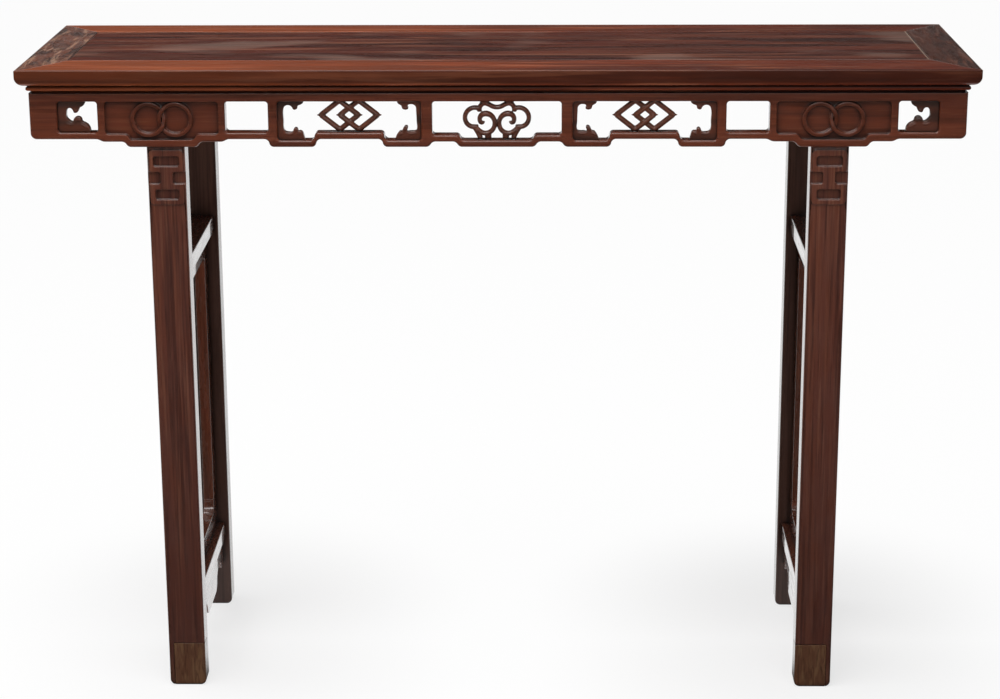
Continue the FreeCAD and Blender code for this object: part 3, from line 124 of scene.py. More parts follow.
@dataclass(frozen=True)
class HardwoodFinish:
    """Old Chinese hardwood, planed by hand, stained and lacquered.

    The eye gets dark pore lines along the fibre, slow bands of darker and redder heartwood,
    paler edges that are partly rubbed through and partly a painted highlight, painted shade
    that darkens the corners and recesses, and a thin clear lacquer that mirrors pale
    surroundings at a flat angle.
    """

    title: str
    base: str
    layers: tuple[FigureAndSheenLayer, ...]
    # Colour of the pale edges: partly wear, partly a painted highlight.
    rubbed: str
    colour_shifts: tuple[ColourShift, ...] = ()
    # Share of the pale edges, then share and reach of the painted shade in corners and recesses.
    wear_and_highlight_share: float = 0.5
    shade_share: float = 0.85
    shade_reach_mm: float = 8.0
    roughness: float = 0.36
    clear_index: float = 1.24
    coat_share: float = 1.0
    coat_roughness: float = 0.06
    pore_mm: float = 1.4
    fibre_mm: float = 55.0
    relief_mm: float = 0.06
    wrinkle_mm: float = 0.0
    wrinkles_per_metre: float = 260.0
    wave_mm: tuple[float, float] = (13.0, 170.0)
    wave_relief_mm: float = 0.22
    # Rounding, patches and mask of the pale edges, which are partly a painted highlight.
    round_radius_mm: float = 1.5
    patch_mm: tuple[float, float] = (9.0, 40.0)
    edge_facing: tuple[float, float] = (0.995, 0.80)
    edge_noise: tuple[float, float] = (0.36, 0.62)
    edge_least: float = 0.1
    rough_noise: tuple[float, float] = (0.35, 0.7)
    rough_spread: tuple[float, float] = (-0.05, 0.10)
    relief_strength: float = 0.5
    wrinkle_strength: float = 0.8
    ray_samples: int = 6
    # Colour and mask of the painted shade in corners and recesses.
    painted_shade: str = "#0c0705"
    shade_openness: tuple[float, float] = (0.92, 0.38)

    def stretch(self, grain: Grain, across_mm: float, along_mm: float) -> tuple[float, ...]:
        """Pattern repeats per metre on X, Y and Z, stretched along the fibre."""
        scale = [1 / (across_mm * MM)] * 3
        scale[grain.value] = 1 / (along_mm * MM)
        return tuple(scale)

    def layered_colour(self, tree: bpy.types.NodeTree, place: bpy.types.NodeSocket,
               grain: Grain) -> bpy.types.NodeSocket:
        """Colour of the wood, with its painted sheen and painted edge shade, before the pale edges
        and the painted corner shade.

        Args:
            tree: The node tree.
            place: Object coordinates.
            grain: The way the fibre runs.

        Returns:
            The colour.
        """
        colour = linear(self.base)
        for layer in self.layers:
            spread = add_node(tree, "ShaderNodeMapping", {
                "Vector": place, "Scale": self.stretch(grain, layer.across_mm, layer.along_mm)})
            value = add_node(tree, "ShaderNodeTexNoise", {
                "Vector": spread, "Scale": 1.0, "Detail": layer.detail, "Roughness": 0.55,
                "Distortion": layer.wander})
            share = add_node(tree, "ShaderNodeMapRange", {
                "interpolation_type": "SMOOTHSTEP", 0: value, 1: layer.low, 2: layer.high, 3: 0.0,
                4: layer.share})
            colour = add_node(tree, "ShaderNodeMix", {
                "data_type": "RGBA", 0: share, 6: colour, 7: linear(layer.colour)}, 2)
        for shift in self.colour_shifts:
            along = add_node(tree, "ShaderNodeSeparateXYZ", {0: place}, shift.axis.value)
            share = add_node(tree, "ShaderNodeMapRange", {
                "interpolation_type": "SMOOTHSTEP", 0: along, 1: shift.full_at, 2: shift.gone_at,
                3: shift.share, 4: 0.0})
            colour = add_node(tree, "ShaderNodeMix", {
                "data_type": "RGBA", 0: share, 6: colour, 7: linear(shift.colour)}, 2)
        return colour

    def pale_edges_and_shade(self, tree: bpy.types.NodeTree, colour: bpy.types.NodeSocket,
                  rounded: bpy.types.NodeSocket,
                  patch: bpy.types.NodeSocket) -> bpy.types.NodeSocket:
        """Pale the edges in patches, partly as wear and partly as a painted highlight, and darken
        the sheltered corners and recesses with painted shade.

        Args:
            tree: The node tree.
            colour: Colour of the wood.
            rounded: The surface's normal with its edges rounded.
            patch: Noise that says where the edges are paled.

        Returns:
            The colour with pale edges and painted shade.
        """
        surface = add_node(tree, "ShaderNodeNewGeometry", {}, "Normal")
        facing = add_node(tree, "ShaderNodeVectorMath", {
            "operation": "DOT_PRODUCT", 0: rounded, 1: surface}, "Value")
        edge = add_node(tree, "ShaderNodeMapRange", {
            0: facing, 1: self.edge_facing[0], 2: self.edge_facing[1], 3: 0.0, 4: 1.0})
        patchy = add_node(tree, "ShaderNodeMapRange", {
            0: patch, 1: self.edge_noise[0], 2: self.edge_noise[1], 3: self.edge_least,
            4: self.wear_and_highlight_share})
        # Pale edges: partly wear, partly a painted highlight.
        rub = add_node(tree, "ShaderNodeMath", {"operation": "MULTIPLY", 0: edge, 1: patchy})
        colour = add_node(tree, "ShaderNodeMix", {
            "data_type": "RGBA", 0: rub, 6: colour, 7: linear(self.rubbed)}, 2)
        # Painted shade: ambient occlusion darkens the corners and recesses.
        open_share = add_node(tree, "ShaderNodeAmbientOcclusion", {
            "samples": self.ray_samples, "only_local": False,
            "Distance": self.shade_reach_mm * MM}, "AO")
        painted_shade = add_node(tree, "ShaderNodeMapRange", {
            0: open_share, 1: self.shade_openness[0], 2: self.shade_openness[1], 3: 0.0,
            4: self.shade_share})
        return add_node(tree, "ShaderNodeMix", {
            "data_type": "RGBA", 0: painted_shade, 6: colour, 7: linear(self.painted_shade)}, 2)

    def lacquer_relief(self, tree: bpy.types.NodeTree, place: bpy.types.NodeSocket, grain: Grain,
                       rounded: bpy.types.NodeSocket) -> bpy.types.NodeSocket:
        """Slow waves of the planed wood in the lacquer, and wrinkles where it has aged badly.

        Args:
            tree: The node tree.
            place: Object coordinates.
            grain: The way the fibre runs.
            rounded: The surface's normal with its edges rounded.

        Returns:
            The normal of the clear coat.
        """
        spread = add_node(tree, "ShaderNodeMapping", {
            "Vector": place, "Scale": self.stretch(grain, *self.wave_mm)})
        wave = add_node(tree, "ShaderNodeTexNoise", {"Vector": spread, "Scale": 1.0, "Detail": 1.0})
        normal = add_node(tree, "ShaderNodeBump", {
            "Strength": self.relief_strength, "Distance": self.wave_relief_mm * MM,
            "Height": wave, "Normal": rounded})
        if not self.wrinkle_mm:
            return normal
        wrinkle = add_node(tree, "ShaderNodeTexNoise", {
            "Vector": place, "Scale": self.wrinkles_per_metre, "Detail": 4.0, "Distortion": 2.2})
        return add_node(tree, "ShaderNodeBump", {
            "Strength": self.wrinkle_strength, "Distance": self.wrinkle_mm * MM,
            "Height": wrinkle, "Normal": normal})

    def material(self, grain: Grain) -> bpy.types.Material:
        """The material of a piece with this finish.

        Args:
            grain: The way the fibre runs in the piece.

        Returns:
            One material per finish and fibre direction, made once.
        """
        name = f"{self.title}_{grain.name.lower()}"
        if name in bpy.data.materials:
            return bpy.data.materials[name]
        made = bpy.data.materials.new(name)
        made.use_nodes = True
        tree = made.node_tree
        tree.nodes.clear()
        place = add_node(tree, "ShaderNodeTexCoord", {}, "Object")
        rounded = add_node(tree, "ShaderNodeBevel", {
            "samples": self.ray_samples, "Radius": self.round_radius_mm * MM})
        spread = add_node(tree, "ShaderNodeMapping", {
            "Vector": place, "Scale": self.stretch(grain, *self.patch_mm)})
        patch = add_node(tree, "ShaderNodeTexNoise", {
            "Vector": spread, "Scale": 1.0, "Detail": 3.0})
        colour = self.pale_edges_and_shade(tree, self.layered_colour(tree, place, grain), rounded, patch)
        spread = add_node(tree, "ShaderNodeMapping", {
            "Vector": place, "Scale": self.stretch(grain, self.pore_mm, self.fibre_mm)})
        pore = add_node(tree, "ShaderNodeTexNoise", {"Vector": spread, "Scale": 1.0, "Detail": 3.0})
        normal = add_node(tree, "ShaderNodeBump", {
            "Strength": self.relief_strength, "Distance": self.relief_mm * MM, "Height": pore,
            "Normal": rounded})
        rough = add_node(tree, "ShaderNodeMapRange", {
            0: patch, 1: self.rough_noise[0], 2: self.rough_noise[1],
            3: self.roughness + self.rough_spread[0], 4: self.roughness + self.rough_spread[1]})
        shader = add_node(tree, "ShaderNodeBsdfPrincipled", {
            "IOR": self.clear_index, "Coat Weight": self.coat_share,
            "Coat Roughness": self.coat_roughness, "Coat IOR": self.clear_index,
            "Base Color": colour, "Roughness": rough, "Normal": normal,
            "Coat Normal": self.lacquer_relief(tree, place, grain, rounded)})
        add_node(tree, "ShaderNodeOutputMaterial", {"Surface": shader})
        return made


# Bold long streaks, dark and orange, of the rails of the top.
RAIL_FIGURE = (
    FigureAndSheenLayer(60, 500, 0.42, 0.60, 0.6, "#8a3f24"),
    FigureAndSheenLayer(26, 330, 0.47, 0.60, 0.75, "#45190f", 3.0, 0.4),
    FigureAndSheenLayer(13, 260, 0.53, 0.64, 0.7, "#b26a4a", 2.0, 0.3),
    FigureAndSheenLayer(8, 160, 0.50, 0.62, 0.6, "#35130c", 3.0, 0.3),
    FigureAndSheenLayer(2, 60, 0.52, 0.72, 0.5, "#30130d", 3.0),
)
# Painted shade: the moulded front edge, darker than the rail above it.
MOULDED_EDGE_SHADE = ColourShift(Grain.ALONG_Y, -0.1838, -0.1795, 0.68, "#3a1d14")
# Orange-red at the left end, dark red at the right.
TOP_RAIL_WOOD = HardwoodFinish(
    "lacquered_rail_hardwood", "#742f1a", RAIL_FIGURE, "#b06848",
    (ColourShift(Grain.ALONG_X, -0.62, 0.42, 0.5, "#a8562c"),
     ColourShift(Grain.ALONG_X, 0.60, -0.20, 0.42, "#54200f"), MOULDED_EDGE_SHADE), wear_and_highlight_share=0.4)
# Grey-brown burr with light streaks and a wrinkled, duller lacquer.
LEFT_END_WOOD = HardwoodFinish(
    "burred_end_rail_hardwood", "#693c2b", (
        FigureAndSheenLayer(30, 90, 0.44, 0.60, 0.85, "#2b1610", 4.0, 1.2),
        FigureAndSheenLayer(11, 70, 0.54, 0.66, 0.75, "#a67e66", 3.0, 1.0),
        FigureAndSheenLayer(5, 16, 0.50, 0.66, 0.7, "#23130e", 4.0, 1.6)),
    "#b09480", wrinkle_mm=0.15, clear_index=1.16)
# Dark red-brown, short figured streaks.
RIGHT_END_WOOD = HardwoodFinish(
    "lacquered_end_rail_hardwood", "#512818", (
        FigureAndSheenLayer(24, 120, 0.44, 0.62, 0.75, "#28130c", 3.0, 0.8),
        FigureAndSheenLayer(10, 90, 0.54, 0.66, 0.7, "#74493a", 3.0, 0.5),
        FigureAndSheenLayer(4, 40, 0.52, 0.70, 0.5, "#1e0e09", 3.0)),
    "#9a6a52", wrinkle_mm=0.1)
# Dark panel with long streaks and pale, smudged patches of sheen.
PANEL_WOOD = HardwoodFinish(
    "lacquered_panel_hardwood", "#5b2618", (
        FigureAndSheenLayer(70, 620, 0.42, 0.60, 0.7, "#6e3826", 2.0, 0.5),
        FigureAndSheenLayer(30, 420, 0.46, 0.60, 0.8, "#32130a", 3.0, 0.5),
        FigureAndSheenLayer(14, 300, 0.54, 0.65, 0.65, "#8c5640", 2.0, 0.4),
        FigureAndSheenLayer(9, 180, 0.50, 0.62, 0.6, "#270e08", 3.0, 0.3),
        # Painted sheen: pale smudges of colour in place of reflections.
        FigureAndSheenLayer(90, 150, 0.54, 0.72, 0.45, "#937568", 1.0, 0.0),
        FigureAndSheenLayer(2, 70, 0.52, 0.72, 0.4, "#28100a", 3.0)),
    "#8a5a44",
    # Pale dust that sits in the joints at the panel's right end and front edge.
    (ColourShift(Grain.ALONG_X, 0.5688, 0.5650, 0.8, "#c8b09a"),
     ColourShift(Grain.ALONG_Y, -0.1068, -0.1035, 0.5, "#a88070")))
# Quiet figure, so that the carving reads before the grain.
CARVED_FIGURE = (
    FigureAndSheenLayer(26, 420, 0.42, 0.60, 0.5, "#7c3c24"),
    FigureAndSheenLayer(8, 180, 0.46, 0.66, 0.42, "#42200f", 3.0, 0.4),
    FigureAndSheenLayer(3, 90, 0.53, 0.70, 0.3, "#8a4e34"),
    FigureAndSheenLayer(1.4, 50, 0.52, 0.72, 0.4, "#34160e", 3.0),
)
# Red-brown with pale edges, partly rubbed and partly a painted highlight, and painted shade in the
# corners around the fields.
APRON_WOOD = HardwoodFinish(
    "lacquered_apron_hardwood", "#642e1b", CARVED_FIGURE, "#b57f64", wear_and_highlight_share=0.75,
    shade_share=0.95, shade_reach_mm=15.0, clear_index=1.4, coat_roughness=0.16)
# Browner straps that catch soft light on their rounded tops.
INSERT_WOOD = HardwoodFinish(
    "lacquered_insert_hardwood", "#5f392b", CARVED_FIGURE, "#a07c68", wear_and_highlight_share=0.8,
    shade_reach_mm=5.0, clear_index=1.45, coat_roughness=0.14)
# Leaves that stand back from the apron, their base darkened as painted shade.
BRACKET_WOOD = HardwoodFinish(
    "lacquered_bracket_hardwood", "#452a20", CARVED_FIGURE[:1], "#94705e", wear_and_highlight_share=0.8,
    shade_share=0.95, shade_reach_mm=10.0, clear_index=1.45, coat_roughness=0.14)
# Straight fine grain, darker down the leg and yellower at the foot.
LEG_WOOD = HardwoodFinish(
    "lacquered_leg_hardwood", "#653527", (
        FigureAndSheenLayer(20, 500, 0.42, 0.60, 0.6, "#743f2b"),
        FigureAndSheenLayer(7, 300, 0.46, 0.62, 0.75, "#47231a", 3.0, 0.3),
        FigureAndSheenLayer(3, 160, 0.53, 0.66, 0.5, "#84503a"),
        FigureAndSheenLayer(1.4, 70, 0.52, 0.72, 0.5, "#36170f", 3.0)),
    "#9a664e", (ColourShift(Grain.ALONG_Z, 0.0, 0.62, 0.55, "#3c1a11"),
                ColourShift(Grain.ALONG_Z, 0.0, 0.05, 0.22, "#6a4c30")),
    wear_and_highlight_share=0.6, shade_share=0.95, shade_reach_mm=12.0, clear_index=1.45, coat_roughness=0.06)
# The same wood in shade, dulled and darkened.
REAR_WOOD = HardwoodFinish(
    "darkened_rear_hardwood", "#50372e", (
        FigureAndSheenLayer(18, 500, 0.42, 0.62, 0.5, "#5c3f34"),
        FigureAndSheenLayer(6, 260, 0.45, 0.66, 0.6, "#38231c", 3.0, 0.3),
        FigureAndSheenLayer(1.4, 70, 0.52, 0.72, 0.4, "#2a1813", 3.0)),
    "#6e4e40")
# Smooth lacquer that mirrors the floor at a flat angle.
FRAME_WOOD = HardwoodFinish(
    "lacquered_stretcher_hardwood", "#5c3425", CARVED_FIGURE, "#8f6a58", coat_roughness=0.03,
    roughness=0.25, clear_index=1.5)
# Yellow-brown block of other wood in the foot.
PATCH_WOOD = HardwoodFinish(
    "lacquered_patch_hardwood", "#5a3a28", (
        FigureAndSheenLayer(9, 60, 0.42, 0.62, 0.6, "#72543a", 3.0, 1.4),
        FigureAndSheenLayer(3, 30, 0.48, 0.68, 0.6, "#3a2114", 3.0, 1.0)),
    "#94744c")
# Bare dry wood under the top, with no lacquer.
HIDDEN_WOOD = HardwoodFinish(
    "bare_batten_hardwood", "#6a4630", CARVED_FIGURE, "#8a6a4c", roughness=0.6, coat_share=0.0)


def names_with(*starts: str) -> list[str]:
    """Names of the CAD nodes that begin with one of the given words."""
    return sorted(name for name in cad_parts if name.startswith(starts))


def hand_in(name: str, mesh: bpy.types.Mesh, material: bpy.types.Material,
            nodes: tuple[str, ...] = ()) -> bpy.types.Object:
    """Put a finished mesh on the table.

    Args:
        name: Name of the piece.
        mesh: Its mesh, with its place in it.
        material: Its wood and lacquer.
        nodes: The CAD nodes that it stands for.

    Returns:
        The piece, riding on the table.
    """
    mesh.name = name
    mesh.materials.clear()
    mesh.materials.append(material)
    piece = bpy.data.objects.new(name, mesh)
    bpy.context.scene.collection.objects.link(piece)
    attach(piece, "root")
    if nodes:
        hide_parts(*nodes)
    LOG.info("%s: %d faces", name, len(mesh.polygons))
    return piece


def to_skin(shape: bmesh.types.BMesh, name: str, turn_out: bool = False) -> bpy.types.Mesh:
    """Make a smoothly shaded mesh of a finished shape, which is freed.

    Args:
        shape: The shape.
        name: Name of the mesh.
        turn_out: Whether its faces are turned outwards first.

    Returns:
        The mesh.
    """
    if turn_out:
        bmesh.ops.recalc_face_normals(shape, faces=shape.faces)
    for face in shape.faces:
        face.smooth = True
    mesh = bpy.data.meshes.new(name)
    shape.to_mesh(mesh)
    shape.free()
    return mesh


@dataclass(frozen=True)
class SunkBands:
    """Flat ring bands of the apron, planed down to lie under the rounded rings."""

    band_depth_mm: float = 0.6
    face_mm: float = 170.5
    down_mm: float = 2.6
    within_mm: float = 0.06

    def plane_down(self, shape: bmesh.types.BMesh) -> None:
        """Move the tops of the flat bands back into the wood.

        Args:
            shape: The apron, with its vertices merged.
        """
        level = (self.face_mm - self.band_depth_mm) * MM
        for vert in shape.verts:
            if abs(abs(vert.co.y) - level) < self.within_mm * MM:
                vert.co.y -= math.copysign(self.down_mm * MM, vert.co.y)


@dataclass(frozen=True)
class EasedEdges:
    """How a maker's plane and scraper round the sharp edges of a piece."""

    width_mm: float = 0.6
    segments: int = 2
    sharper_than: float = math.radians(28)
    shaded_sharp_from: float = math.radians(40)
    merge_mm: float = 0.01
    flat_within: float = math.radians(0.6)
    front_only: bool = False
    facing_front: float = 0.9

    def wanted(self, edge: bmesh.types.BMEdge) -> bool:
        """Whether an edge is to be rounded: sharp and, where asked, beside a front or back face.

        Args:
            edge: An edge of the piece.

        Returns:
            True for an edge to round.
        """
        if len(edge.link_faces) != 2 or edge.calc_face_angle(0.0) < self.sharper_than:
            return False
        return not self.front_only or any(
            abs(face.normal.y) > self.facing_front for face in edge.link_faces)

    def work(self, node: str, sunk: SunkBands | None = None) -> bpy.types.Mesh:
        """Make the eased copy of a CAD node's mesh, kept inside the node's own box.

        Args:
            node: Name of the CAD node.
            sunk: Flat bands to plane down before the edges are eased.

        Returns:
            The new mesh.
        """
        shape = bmesh.new()
        shape.from_mesh(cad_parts[node].data)
        bmesh.ops.remove_doubles(shape, verts=shape.verts, dist=self.merge_mm * MM)
        bmesh.ops.dissolve_limit(
            shape, angle_limit=self.flat_within, verts=shape.verts, edges=shape.edges)
        low = [min(vert.co[axis] for vert in shape.verts) for axis in range(3)]
        high = [max(vert.co[axis] for vert in shape.verts) for axis in range(3)]
        if sunk:
            sunk.plane_down(shape)
        sharp = [edge for edge in shape.edges if self.wanted(edge)]
        bmesh.ops.bevel(
            shape, geom=sharp, offset=self.width_mm * MM, offset_type="OFFSET",
            segments=self.segments, profile=0.5, affect="EDGES", clamp_overlap=False, material=-1,
            loop_slide=True)
        for vert in shape.verts:
            vert.co = [min(max(vert.co[axis], low[axis]), high[axis]) for axis in range(3)]
        mesh = to_skin(shape, node)
        mesh.set_sharp_from_angle(angle=self.shaded_sharp_from)
        return mesh

    def dress(self, names: list[str], finish: HardwoodFinish, grain: Grain,
              sunk: SunkBands | None = None) -> None:
        """Work CAD nodes over and give them a finish.

        Args:
            names: The CAD nodes.
            finish: Their wood and lacquer.
            grain: The way the fibre runs.
            sunk: Flat bands to plane down first.
        """
        for node in names:
            piece = hand_in(f"{node}_wood", self.work(node, sunk),
                            finish.material(grain), (node,))
            even = piece.modifiers.new("even_shading", "WEIGHTED_NORMAL")
            even.keep_sharp = True


class Side(Enum):
    """The long side of the table that an ornament belongs to."""

    FRONT = -1
    BACK = 1


# The ends of the table, and whether an ornament drawn for the left is mirrored there.
ENDS = (("left", False), ("right", True))


@dataclass(frozen=True)
class CarvingBlank:
    """Rough parts of one carved ornament, drawn in x and z, then fused and rubbed smooth."""

    face_mm: float = 166.5
    thick_mm: float = 9.0
    voxel_mm: float = 0.7
    rubbings: int = 3
    merge_mm: float = 0.002

    def add_curve(self, shape: bmesh.types.BMesh, line: bpy.types.Curve, turn: Matrix) -> None:
        """Turn a curve into rough wood and drop the curve.

        Args:
            shape: The ornament's rough mesh, in mm.
            line: The curve.
            turn: Its turn and stretch on the way into the mesh.
        """
        holder = bpy.data.objects.new(line.name, line)
        mesh = bpy.data.meshes.new_from_object(holder)
        mesh.transform(turn)
        shape.from_mesh(mesh)
        bpy.data.meshes.remove(mesh)
        bpy.data.objects.remove(holder)
        bpy.data.curves.remove(line)

    def strap(self, shape: bmesh.types.BMesh, points: list[tuple[float, ...]], width_mm: float,
              smooth: bool = True) -> None:
        """Add a rounded strap along a centre line.

        Args:
            shape: The ornament's rough mesh, in mm, with y as depth from the middle plane.
            points: x, z, how far the strap stands forward there, and its share of the width.
            width_mm: Width of the strap.
            smooth: Whether the line is one curve or straight runs.
        """
        line = bpy.data.curves.new("strap_line", "CURVE")
        line.dimensions = "3D"
        line.bevel_depth = width_mm / 2
        line.bevel_resolution = 3
        line.use_fill_caps = True
        run = line.splines.new("NURBS" if smooth else "POLY")
        run.points.add(len(points) - 1)
        flatness = self.thick_mm / width_mm
        for knot, point in zip(run.points, points):
            x, z = point[:2]
            lift = point[2] if len(point) > 2 else 0.0
            knot.co = (x, -lift / flatness, z, 1.0)
            knot.radius = point[3] if len(point) > 3 else 1.0
        if smooth:
            run.order_u = 3
            run.use_endpoint_u = True
            run.resolution_u = 8
        self.add_curve(shape, line, Matrix.Diagonal((1.0, flatness, 1.0, 1.0)))

    def leaf(self, shape: bmesh.types.BMesh, outline: list[tuple[float, float, bool]]) -> None:
        """Add a flat leaf with a curved outline.

        Args:
            shape: The ornament's rough mesh, in mm.
            outline: x, z and whether the outline turns a sharp corner there.
        """
        line = bpy.data.curves.new("leaf_line", "CURVE")
        line.dimensions = "2D"
        line.fill_mode = "BOTH"
        line.extrude = self.thick_mm / 2
        line.resolution_u = 5
        run = line.splines.new("BEZIER")
        run.use_cyclic_u = True
        run.bezier_points.add(len(outline) - 1)
        for knot, (x, z, sharp) in zip(run.bezier_points, outline):
            knot.co = (x, z, 0.0)
            knot.handle_left_type = knot.handle_right_type = "VECTOR" if sharp else "AUTO"
        self.add_curve(shape, line, Matrix.Rotation(math.pi / 2, 4, "X"))

    def finish(self, shape: bmesh.types.BMesh, side: Side, mirrored: bool) -> bpy.types.Mesh:
        """Fuse the rough parts into one skin and set it in its plane.

        Args:
            shape: The rough mesh, in mm; it is freed.
            side: The long side of the table.
            mirrored: Whether the ornament goes to the other end, turned over.

        Returns:
            The finished mesh, in metres.
        """
        bmesh.ops.remove_doubles(shape, verts=shape.verts, dist=self.merge_mm)
        rough = bpy.data.meshes.new("rough_carving")
        shape.to_mesh(rough)
        shape.free()
        holder = bpy.data.objects.new("rough_carving", rough)
        bpy.context.scene.collection.objects.link(holder)
        fuse = holder.modifiers.new("fuse", "REMESH")
        fuse.mode = "VOXEL"
        fuse.voxel_size = self.voxel_mm
        rub = holder.modifiers.new("rub", "SMOOTH")
        rub.iterations = self.rubbings
        rub.factor = 0.5
        seen = holder.evaluated_get(bpy.context.evaluated_depsgraph_get())
        mesh = bpy.data.meshes.new_from_object(seen)
        bpy.data.objects.remove(holder)
        bpy.data.meshes.remove(rough)
        turn = Matrix.Diagonal((-MM if mirrored else MM, -side.value * MM, MM, 1.0))
        depth = side.value * (self.face_mm - self.thick_mm / 2) * MM
        mesh.transform(Matrix.Translation((0, depth, 0)) @ turn)
        clean = bmesh.new()
        clean.from_mesh(mesh)
        bpy.data.meshes.remove(mesh)
        return to_skin(clean, "carving", turn_out=True)

    def let_in(self, shape: bmesh.types.BMesh, node: str, side: Side, finish: HardwoodFinish,
               mirrored: bool = False) -> None:
        """Finish an ornament and let it into the apron.

        Args:
            shape: The rough mesh, in mm; it is freed.
            node: The CAD node that it stands for.
            side: The long side of the table.
            finish: Its wood and lacquer.
            mirrored: Whether it goes to the other end, turned over.
        """
        hand_in(f"{node}_wood", self.finish(shape, side, mirrored),
                finish.material(Grain.ALONG_X), (node,))


@dataclass
class MouldedTop:
    """The mitred frame, its floating panel and the battens below."""

    rails: EasedEdges = EasedEdges(0.45)

    def build(self) -> None:
        """Give the rails, the panel and the battens their woods."""
        self.rails.dress(["top_front_rail", "top_back_rail"], TOP_RAIL_WOOD, Grain.ALONG_X)
        self.rails.dress(["top_left_end_rail"], LEFT_END_WOOD, Grain.ALONG_Y)
        self.rails.dress(["top_right_end_rail"], RIGHT_END_WOOD, Grain.ALONG_Y)
        self.rails.dress(["top_panel"], PANEL_WOOD, Grain.ALONG_X)
        self.rails.dress(names_with("panel_batten"), HIDDEN_WOOD, Grain.ALONG_Y)


@dataclass
class RecessedLegs:
    """The four legs with their carved blocks and the patched front feet."""

    carved: EasedEdges = EasedEdges(1.1, 3)
    patches: EasedEdges = EasedEdges(0.5)

    def build(self) -> None:
        """Give the legs and the patches their woods."""
        self.carved.dress(names_with("leg_front"), LEG_WOOD, Grain.ALONG_Z)
        self.carved.dress(names_with("leg_back"), REAR_WOOD, Grain.ALONG_Z)
        self.patches.dress(names_with("foot_patch"), PATCH_WOOD, Grain.ALONG_Z)


@dataclass
class LinkedRings:
    """Two rings that pass over and under each other in the sunk field of an apron."""

    centre_x: float = 437.85
    centre_z: float = 802.4
    spacing: float = 35.2
    outer: float = 23.4
    inner: float = 17.8
    field_mm: float = 165.4
    crest: float = 5.0
    groove: float = 3.9
    shoulder: float = 0.3
    shoulder_drop: float = 1.1
    bead: float = 1.2
    over: float = 1.0
    under: float = 1.6
    reach: float = math.radians(17)
    steps: int = 96

    def ring(self, middle: float, over_at: float, under_at: float) -> bpy.types.Mesh:
        """Spin one ring with two soft ridges and let it rise and sink at the crossings.

        Args:
            middle: x of the ring's centre, from the middle of the pair.
            over_at: Angle at which the ring lies on top.
            under_at: Angle at which it lies below.

        Returns:
            The ring in mm, with y as height over the field.
        """
        slope = self.crest - self.shoulder_drop
        profile = (
            (self.inner, 0.0), (self.inner + self.shoulder, slope),
            (self.inner + self.bead, self.crest), ((self.inner + self.outer) / 2, self.groove),
            (self.outer - self.bead, self.crest), (self.outer - self.shoulder, slope),
            (self.outer, 0.0))
        shape = bmesh.new()
        verts = [shape.verts.new((middle + radius, height, self.centre_z))
                 for radius, height in profile]
        edges = [shape.edges.new(pair) for pair in zip(verts, verts[1:] + verts[:1])]
        bmesh.ops.spin(
            shape, geom=verts + edges, cent=(middle, 0, self.centre_z), axis=(0, 1, 0),
            angle=math.tau, steps=self.steps, use_merge=True)
        for vert in shape.verts:
            if vert.co.y <= 0:
                continue
            angle = math.atan2(vert.co.z - self.centre_z, vert.co.x - middle)
            for place, lift in ((over_at, self.over), (under_at, -self.under)):
                gap = (angle - place + math.pi) % math.tau - math.pi
                vert.co.y += lift * math.exp(-(gap / self.reach) ** 2)
        mesh = bpy.data.meshes.new("ring")
        shape.to_mesh(mesh)
        shape.free()
        return mesh

    def build(self) -> None:
        """Make the four pairs of rings."""
        half = self.spacing / 2
        cross = math.acos(half / ((self.inner + self.outer) / 2))
        for side in Side:
            for word, end in (("left", -1), ("right", 1)):
                shape = bmesh.new()
                # The ring nearer the table's middle is on top above and underneath below.
                for mesh in (self.ring(-half, -cross, cross),
                             self.ring(half, math.pi - cross, cross - math.pi)):
                    shape.from_mesh(mesh)
                    bpy.data.meshes.remove(mesh)
                for vert in shape.verts:
                    vert.co = Vector((end * (self.centre_x - vert.co.x),
                                      side.value * (self.field_mm + vert.co.y), vert.co.z)) * MM
                hand_in(f"linked_rings_{side.name.lower()}_{word}",
                        to_skin(shape, "rings", turn_out=True),
                        APRON_WOOD.material(Grain.ALONG_X))


